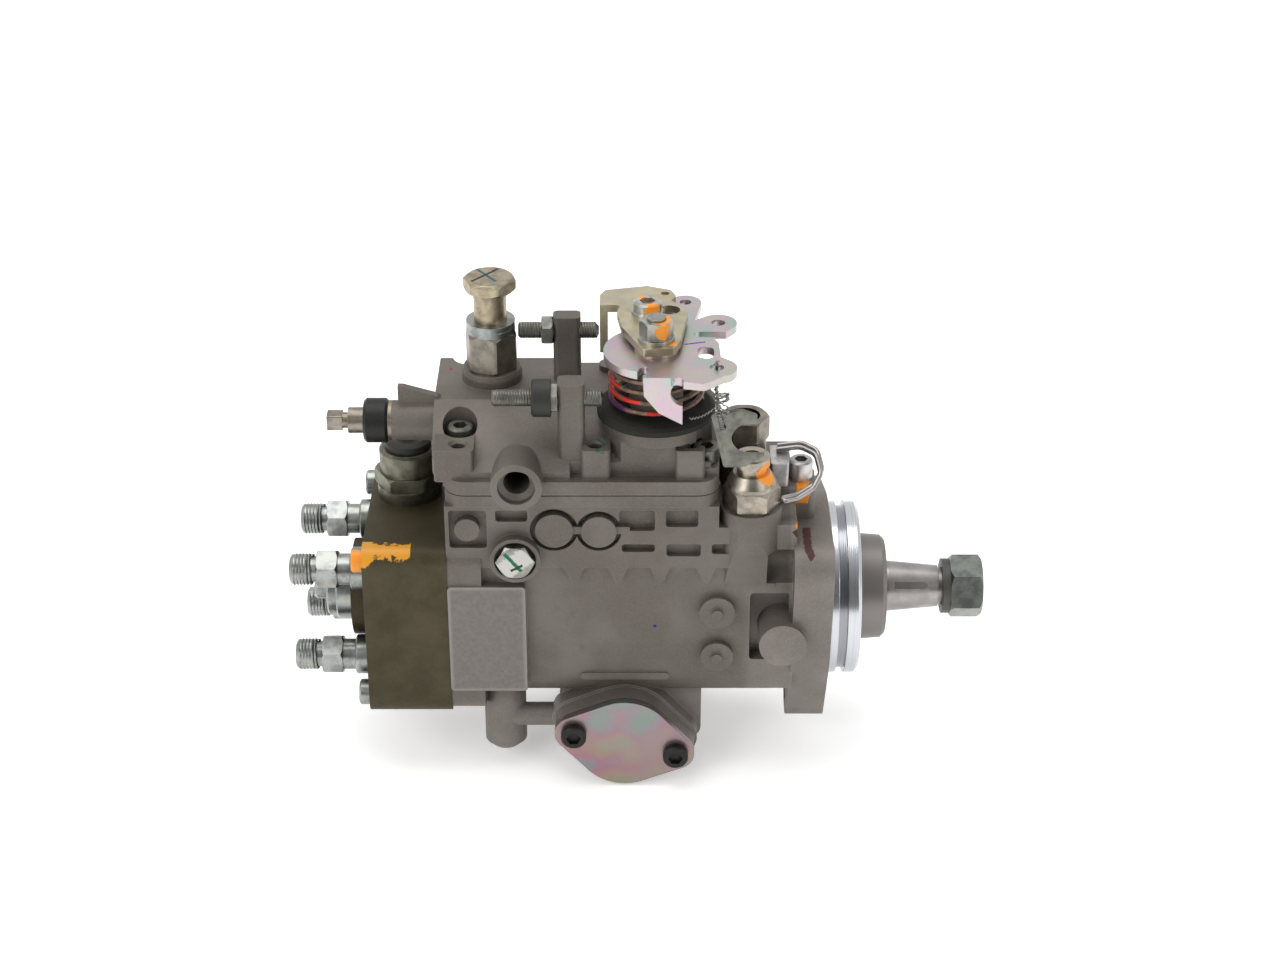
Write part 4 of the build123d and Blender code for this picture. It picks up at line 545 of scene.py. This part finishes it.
def dull_plastic(name, tint, rough):
    """Moulded plastic or rubber with a little dust."""
    finish = Finish(name, Metallic=0.0)
    grain = finish.noise(0.3, 3.0, 0.6)
    dust = finish.noise(6.0, 3.0, 0.6)
    dusty = tuple(part * 2.0 + 0.002 for part in tint)
    finish.give("Base Color", finish.mix(dust.fade(0.5, 0.8), tint, dusty))
    finish.give("Roughness", finish.blend(grain, rough, rough + 0.15))
    finish.bump(grain, 0.03, 0.3)
    return finish.material


def ground_steel(name, tint, rough=0.24):
    """Bare steel with fine rings round the shaft's direction."""
    finish = Finish(name, Metallic=1.0)
    x, y, z = finish.place()
    rings = finish.noise(0.5, 2.0, 0.5, finish.vector(x * 3.0, y * 0.05, z * 0.05))
    cloud = finish.noise(7.0, 3.0)
    finish.give("Base Color", finish.mix(cloud.fade(0.3, 0.7), tint, shaded(tint, 0.75)))
    finish.give("Roughness", finish.blend(rings, rough, rough + 0.2))
    finish.bump(rings, 0.02, 0.25)
    return finish.material


ZINC = zinc()
DULL_ZINC = zinc("dull zinc", (0.2, 0.2, 0.175), 0.36)
SEAL_METAL = ground_steel("seal strand steel", (0.3, 0.29, 0.27), 0.35)
SPRING_WIRE = ground_steel("brown spring wire", (0.2, 0.145, 0.105), 0.3)
PLATE_ZINC = rainbow_zinc("timing plate zinc", PINK_STOPS, 17.0, (0.28, 0.26, 0.26))
LOWER_LEVER_ZINC = rainbow_zinc("lower lever zinc", PALE_STOPS, 13.0, (0.46, 0.44, 0.43), lines=LEVER_LINES)
UPPER_LEVER_ZINC = rainbow_zinc("upper lever zinc", OLIVE_STOPS, 9.0, (0.36, 0.34, 0.27), LEVER_PAINT)

# Each finish and the CAD nodes that have it
DRESSING = (
    (cast_aluminium(), "pump_housing", "governor_cover"),
    (phosphate(), "distributor_head"),
    (ZINC, "centre_plug", "overflow_washers", "throttle_shaft"),
    (ZINC, *[f"delivery_holder_{number}" for number in range(1, 5)]),
    (DULL_ZINC, "cover_screws", "idle_screw", "max_speed_screw", "lock_plate"),
    (SEAL_METAL, "seal_wire"),
    (SPRING_WIRE, "shut_off_spring", "timing_spring", "plunger_springs", "governor_spring"),
    (zinc("pivot bolt zinc", (0.28, 0.285, 0.26), lines=PLUG_LINES), "governor_pins"),
    (zinc("shaft nut zinc", (0.21, 0.225, 0.21), 0.22), "shaft_nut"),
    (zinc("shut-off body zinc", (0.2, 0.195, 0.15), 0.3), "shut_off_body"),
    (zinc("head screw zinc", blobs=HEAD_SCREW_PAINT), "head_screws"),
    (zinc("lever nut zinc", (0.42, 0.42, 0.38), blobs=NUT_PAINT), "lever_nut"),
    (zinc("valve nickel", (0.4, 0.36, 0.3), 0.28, VALVE_PAINT), "regulating_valve"),
    (zinc("warm nickel", (0.285, 0.255, 0.215), 0.28), "overflow_adapter", "full_load_screw", "inlet_union"),
    (zinc("gold zinc", (0.4, 0.345, 0.245), 0.28, lines=BOLT_LINES), "overflow_bolt"),
    (zinc("clamp screw zinc", (0.5, 0.5, 0.48), blobs=SCREW_PAINT), "lever_screw"),
    (zinc("bronze", (0.4, 0.26, 0.12), 0.35), "shut_off_terminal", "shaft_bush"),
    (zinc("block zinc", (0.6, 0.58, 0.58), 0.3), "banjo_block"),
    (PLATE_ZINC, "timing_cover_near", "timing_cover_far"),
    (LOWER_LEVER_ZINC, "lower_lever"),
    (UPPER_LEVER_ZINC, "upper_lever"),
    (dark_steel("black oiled steel", (0.02, 0.02, 0.018), 0.38, 0.7), "full_load_nut", "timing_screws"),
    (dark_steel("dark steel", (0.07, 0.068, 0.06), 0.42, 0.6), "lock_washer"),
    (dull_plastic("black plastic", (0.012, 0.012, 0.008), 0.5), "shut_off_cap", "max_speed_cap"),
    (dull_plastic("black rubber", (0.005, 0.005, 0.002), 0.75), "seals", "spring_seat"),
    (spring_steel(), "return_spring"),
    (
        ground_steel("ground steel", (0.36, 0.34, 0.33)),
        "plunger_barrel",
        "shut_off_armature",
        "wire_bail",
        "pump_ring",
        "pump_rotor",
        "drive_shaft",
        "drive_gear",
        "cam_plate",
        "roller_ring",
        "timing_piston",
        "control_sleeve",
        "governor_gear",
        "governor_pusher",
        "governor_lever",
    ),
)

for material, *nodes in DRESSING:
    for node in nodes:
        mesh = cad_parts[node].data
        mesh.materials.clear()
        mesh.materials.append(material)


# Pieces that the CAD leaves plain


def show(name, data, material=None):
    """A new object of this mesh, in the scene."""
    if material:
        data.materials.clear()
        data.materials.append(material)
    piece = bpy.data.objects.new(name, data)
    bpy.context.scene.collection.objects.link(piece)
    return piece


# Screw threads: points to a turn, half the ridge's foot as a share of the pitch, how deep it is sunk in
# the rod, and over how many points it runs out at each end
THREAD_STEPS = 26
THREAD_FOOT = 0.45
THREAD_SUNK = 0.08
THREAD_RUN_OUT = 8.0
ALONG = Vector((1, 0, 0))

# Radius, pitch and height of the ridge
OUTLET_SIZE = (5.9, 1.25, 0.3)
ADJUSTING_SIZE = (3.0, 1.0, 0.25)

# The outlets' left ends, their distance from the middle in Y and Z, and their length of thread
OUTLET_END = -207.0
OUTLET_PLACE = 19.4
OUTLET_LENGTH = 7.6

# Name, left end, Y, Z and length of the adjusting screws' threads
ADJUSTING_THREADS = (
    ("idle_thread_left", -118.9, 10.5, 107.0, 8.0),
    ("idle_thread_right", -97.6, 10.5, 107.0, 7.8),
    ("speed_thread_left", -127.3, -26.0, 97.0, 13.6),
    ("speed_thread_right", -95.2, -26.0, 97.0, 7.6),
)


def thread(name, start, length, size, material):
    """A ridge wound round a rod along X from a point, all in millimetres."""
    radius, pitch, proud = size
    count = int(length / pitch * THREAD_STEPS)
    side = ALONG.orthogonal().normalized()
    up = ALONG.cross(side)
    shape = ((-THREAD_FOOT, -THREAD_SUNK), (0.0, proud), (THREAD_FOOT, -THREAD_SUNK))
    mesh = bmesh.new()
    rows = []
    for step in range(count + 1):
        turn = 2.0 * math.pi * step / THREAD_STEPS
        travel = pitch * (step / THREAD_STEPS) + 0.5 * pitch
        out = side * math.cos(turn) + up * math.sin(turn)
        share = min(1.0, step / THREAD_RUN_OUT, (count - step) / THREAD_RUN_OUT)
        row = []
        for shift, height in shape:
            reach = radius - THREAD_SUNK + (height + THREAD_SUNK) * share
            where = Vector(start) + ALONG * (travel + shift * pitch) + out * reach
            row.append(mesh.verts.new(where * MM))
        rows.append(row)
    for first, second in zip(rows, rows[1:]):
        for index in range(3):
            after = (index + 1) % 3
            mesh.faces.new((first[index], second[index], second[after], first[after]))
    mesh.faces.new(rows[0])
    mesh.faces.new(list(reversed(rows[-1])))
    bmesh.ops.recalc_face_normals(mesh, faces=mesh.faces)
    data = bpy.data.meshes.new(name)
    mesh.to_mesh(data)
    mesh.free()
    piece = show(name, data, material)
    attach(piece, "housing")


def make_threads():
    corners = [(y, z) for y in (-OUTLET_PLACE, OUTLET_PLACE) for z in (-OUTLET_PLACE, OUTLET_PLACE)]
    for number, (y, z) in enumerate(corners, 1):
        thread(f"outlet_thread_{number}", (OUTLET_END, y, z), OUTLET_LENGTH, OUTLET_SIZE, ZINC)
    for name, left, y, z, length in ADJUSTING_THREADS:
        thread(name, (left, y, z), length, ADJUSTING_SIZE, DULL_ZINC)


# The seal wire: where it leaves the lock plate and the lever, and the points that it follows
SEAL_FOOT = Vector((-42.8, -38.4, 90.0))
SEAL_TOP = Vector((-45.1, -30.8, 114.5))
SEAL_ROUTE = (SEAL_TOP, Vector((-45.1, -31.6, 103.0)), Vector((-44.0, -38.0, 95.5)), SEAL_FOOT)

# The second strand: radius, points to a stretch of the route, turn from point to point, and reach
STRAND_RADIUS = 0.28
STRAND_STEPS = 34
STRAND_TURN = 1.05
STRAND_REACH = 0.75

# The tail's knot, whose loops swing by their own reach and rate in X, Y and Z
KNOT_MIDDLE = Vector((-43.3, -38.9, 101.0))
KNOT_POINTS = 230
KNOT_PACE = 0.09
KNOT_REACH = (2.3, 1.1, 4.6)
KNOT_RATE = (2.3, 1.7, 0.62)
KNOT_TURN = 1.6

# The tail's loose length
TAIL_RADIUS = 0.26
TAIL_END = Vector((-55.0, -37.2, 94.2))
TAIL_POINTS = 40
TAIL_SAG = 1.6
TAIL_TURN = 1.5
TAIL_TWIST = 0.35


def wire_piece(name, points, radius):
    """A wire bent along points given in millimetres, as a mesh."""
    curve = bpy.data.curves.new(name, "CURVE")
    curve.dimensions = "3D"
    curve.bevel_depth = radius * MM
    curve.bevel_resolution = 2
    curve.use_fill_caps = True
    spline = curve.splines.new("POLY")
    spline.points.add(len(points) - 1)
    for point, place in zip(spline.points, points):
        point.co = (*(place * MM), 1.0)
    holder = show(name + "_curve", curve)
    bpy.context.view_layer.update()
    mesh = bpy.data.meshes.new_from_object(holder)
    bpy.data.objects.remove(holder)
    piece = show(name, mesh, SEAL_METAL)
    return piece


def twisted_strand():
    """Points of the second strand, wound round the seal wire."""
    points = []
    for part, (start, end) in enumerate(zip(SEAL_ROUTE, SEAL_ROUTE[1:])):
        for step in range(STRAND_STEPS):
            turn = (part * STRAND_STEPS + step) * STRAND_TURN
            twist = Vector((math.cos(turn), math.sin(turn), 0.0)) * STRAND_REACH
            points.append(start.lerp(end, step / STRAND_STEPS) + twist)
    return points


def tangled_tail():
    """Points of the loose end: a knot of loops, then a sagging length to the left."""
    points = []
    for step in range(KNOT_POINTS):
        swings = [rate * (step * KNOT_PACE) for rate in KNOT_RATE]
        waves = (math.sin(swings[0]), math.cos(swings[1]), math.sin(swings[2]))
        loops = [reach * wave for reach, wave in zip(KNOT_REACH, waves)]
        twist = Vector((math.cos(step * KNOT_TURN), math.sin(step * KNOT_TURN), 0.0)) * TAIL_TWIST
        points.append(KNOT_MIDDLE + Vector(loops) + twist)
    start = points[-1]
    for step in range(TAIL_POINTS):
        share = step / (TAIL_POINTS - 1)
        sag = Vector((0.0, 0.0, -TAIL_SAG * math.sin(math.pi * share)))
        twist = Vector((0.0, math.cos(step * TAIL_TURN), math.sin(step * TAIL_TURN))) * TAIL_TWIST
        points.append(start.lerp(TAIL_END, share) + sag + twist)
    return points


def make_seal():
    """The seal wire and its second strand, and the tangled tail."""
    core = show("seal_core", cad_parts["seal_wire"].data.copy())
    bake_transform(core)
    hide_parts("seal_wire")
    strand = wire_piece("seal_strand", twisted_strand(), STRAND_RADIUS)
    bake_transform(strand)
    tail = wire_piece("seal_tail", tangled_tail(), TAIL_RADIUS)
    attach(tail, "housing")


# Springs that a sliding piece presses towards +Y or +Z: node, joint, direction and stroke in millimetres
PRESSED_SPRINGS = (
    ("timing_spring", "timing_slide", (0, 1, 0), 8.0),
    ("shut_off_spring", "shut_off_slide", (0, 0, 1), 1.5),
)


def make_pressed_springs():
    """Copies of the coils, fixed to the housing in place of the CAD's own."""
    for node, joint, axis, stroke in PRESSED_SPRINGS:
        low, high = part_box(node)
        index = axis.index(1)
        anchor = [(start + end) / 2.0 for start, end in zip(low, high)]
        anchor[index] = high[index]
        coil = show(node + "_coil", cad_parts[node].data.copy())
        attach(coil, "housing")
        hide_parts(node)
        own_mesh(coil)


make_threads()
make_seal()
make_pressed_springs()


# Studio


FLOOR_HALF = 6.0
LIT_PLACE = Vector((-0.07, 0.0, 0.03))

# Name, place, size and power of the soft boxes
SOFT_BOXES = (
    ("top box", (-0.25, 0.1, 1.2), (1.1, 0.8), 7.0),
    ("near left box", (-0.9, -0.9, 0.7), (0.7, 0.7), 6.0),
    ("near right box", (0.9, -0.8, 0.5), (0.6, 0.6), 3.2),
)

# The tent's light from the camera's side and from behind, and where one turns into the other
FRONT_LIGHT, FRONT_END = 0.16, -0.85
BACK_LIGHT, BACK_START = 0.92, 0.1

# The photograph's view, as solved from the part's known sizes
CAMERA_PLACE = (-0.073, -0.8412, 0.5199)
CAMERA_TILT = 29.3
CAMERA_LENS = 70.31
SENSOR_WIDTH = 36.0


def make_floor():
    lowest = cad_box[0].z
    corners = [(x, y, lowest) for x, y in ((-1, -1), (1, -1), (1, 1), (-1, 1))]
    mesh = bpy.data.meshes.new("floor")
    mesh.from_pydata([(x * FLOOR_HALF, y * FLOOR_HALF, z) for x, y, z in corners], [], [(0, 1, 2, 3)])
    finish = Finish("pale floor", Roughness=0.9, Specular_IOR_Level=0.1, Emission_Strength=0.3)
    finish.give("Emission Color", (1.0, 1.0, 1.0))
    finish.give("Base Color", (1.0, 1.0, 1.0))
    show("floor", mesh, finish.material)


def make_light(name, place, size, power):
    lamp = bpy.data.lights.new(name, "AREA")
    lamp.shape = "RECTANGLE"
    lamp.size, lamp.size_y = size
    lamp.energy = power
    holder = show(name, lamp)
    holder.location = place
    holder.rotation_mode = "QUATERNION"
    holder.rotation_quaternion = (LIT_PLACE - Vector(place)).to_track_quat("-Z", "Y")


def make_tent():
    """Light from all round: bright above and behind, darker from the camera's side."""
    world = bpy.data.worlds.new("studio")
    world.use_nodes = True
    tree = world.node_tree
    where = tree.nodes.new("ShaderNodeTexCoord")
    parts = tree.nodes.new("ShaderNodeSeparateXYZ")
    ramp = tree.nodes.new("ShaderNodeMapRange")
    background = tree.nodes["Background"]
    ramp.inputs["From Min"].default_value = FRONT_END
    ramp.inputs["From Max"].default_value = BACK_START
    ramp.inputs["To Min"].default_value = FRONT_LIGHT
    ramp.inputs["To Max"].default_value = BACK_LIGHT
    tree.links.new(where.outputs["Generated"], parts.inputs[0])
    tree.links.new(parts.outputs["Y"], ramp.inputs["Value"])
    tree.links.new(ramp.outputs["Result"], background.inputs["Strength"])
    background.inputs["Color"].default_value = (1.0, 1.0, 1.0, 1.0)
    bpy.context.scene.world = world


def make_camera():
    data = bpy.data.cameras.new("camera")
    data.lens = CAMERA_LENS
    data.sensor_width = SENSOR_WIDTH
    camera = show("camera", data)
    camera.location = CAMERA_PLACE
    camera.rotation_euler = (math.radians(90.0 - CAMERA_TILT), 0.0, 0.0)
    bpy.context.scene.camera = camera


make_floor()
make_tent()
for soft_box in SOFT_BOXES:
    make_light(*soft_box)
bpy.context.scene.view_settings.view_transform = "Standard"
make_camera()
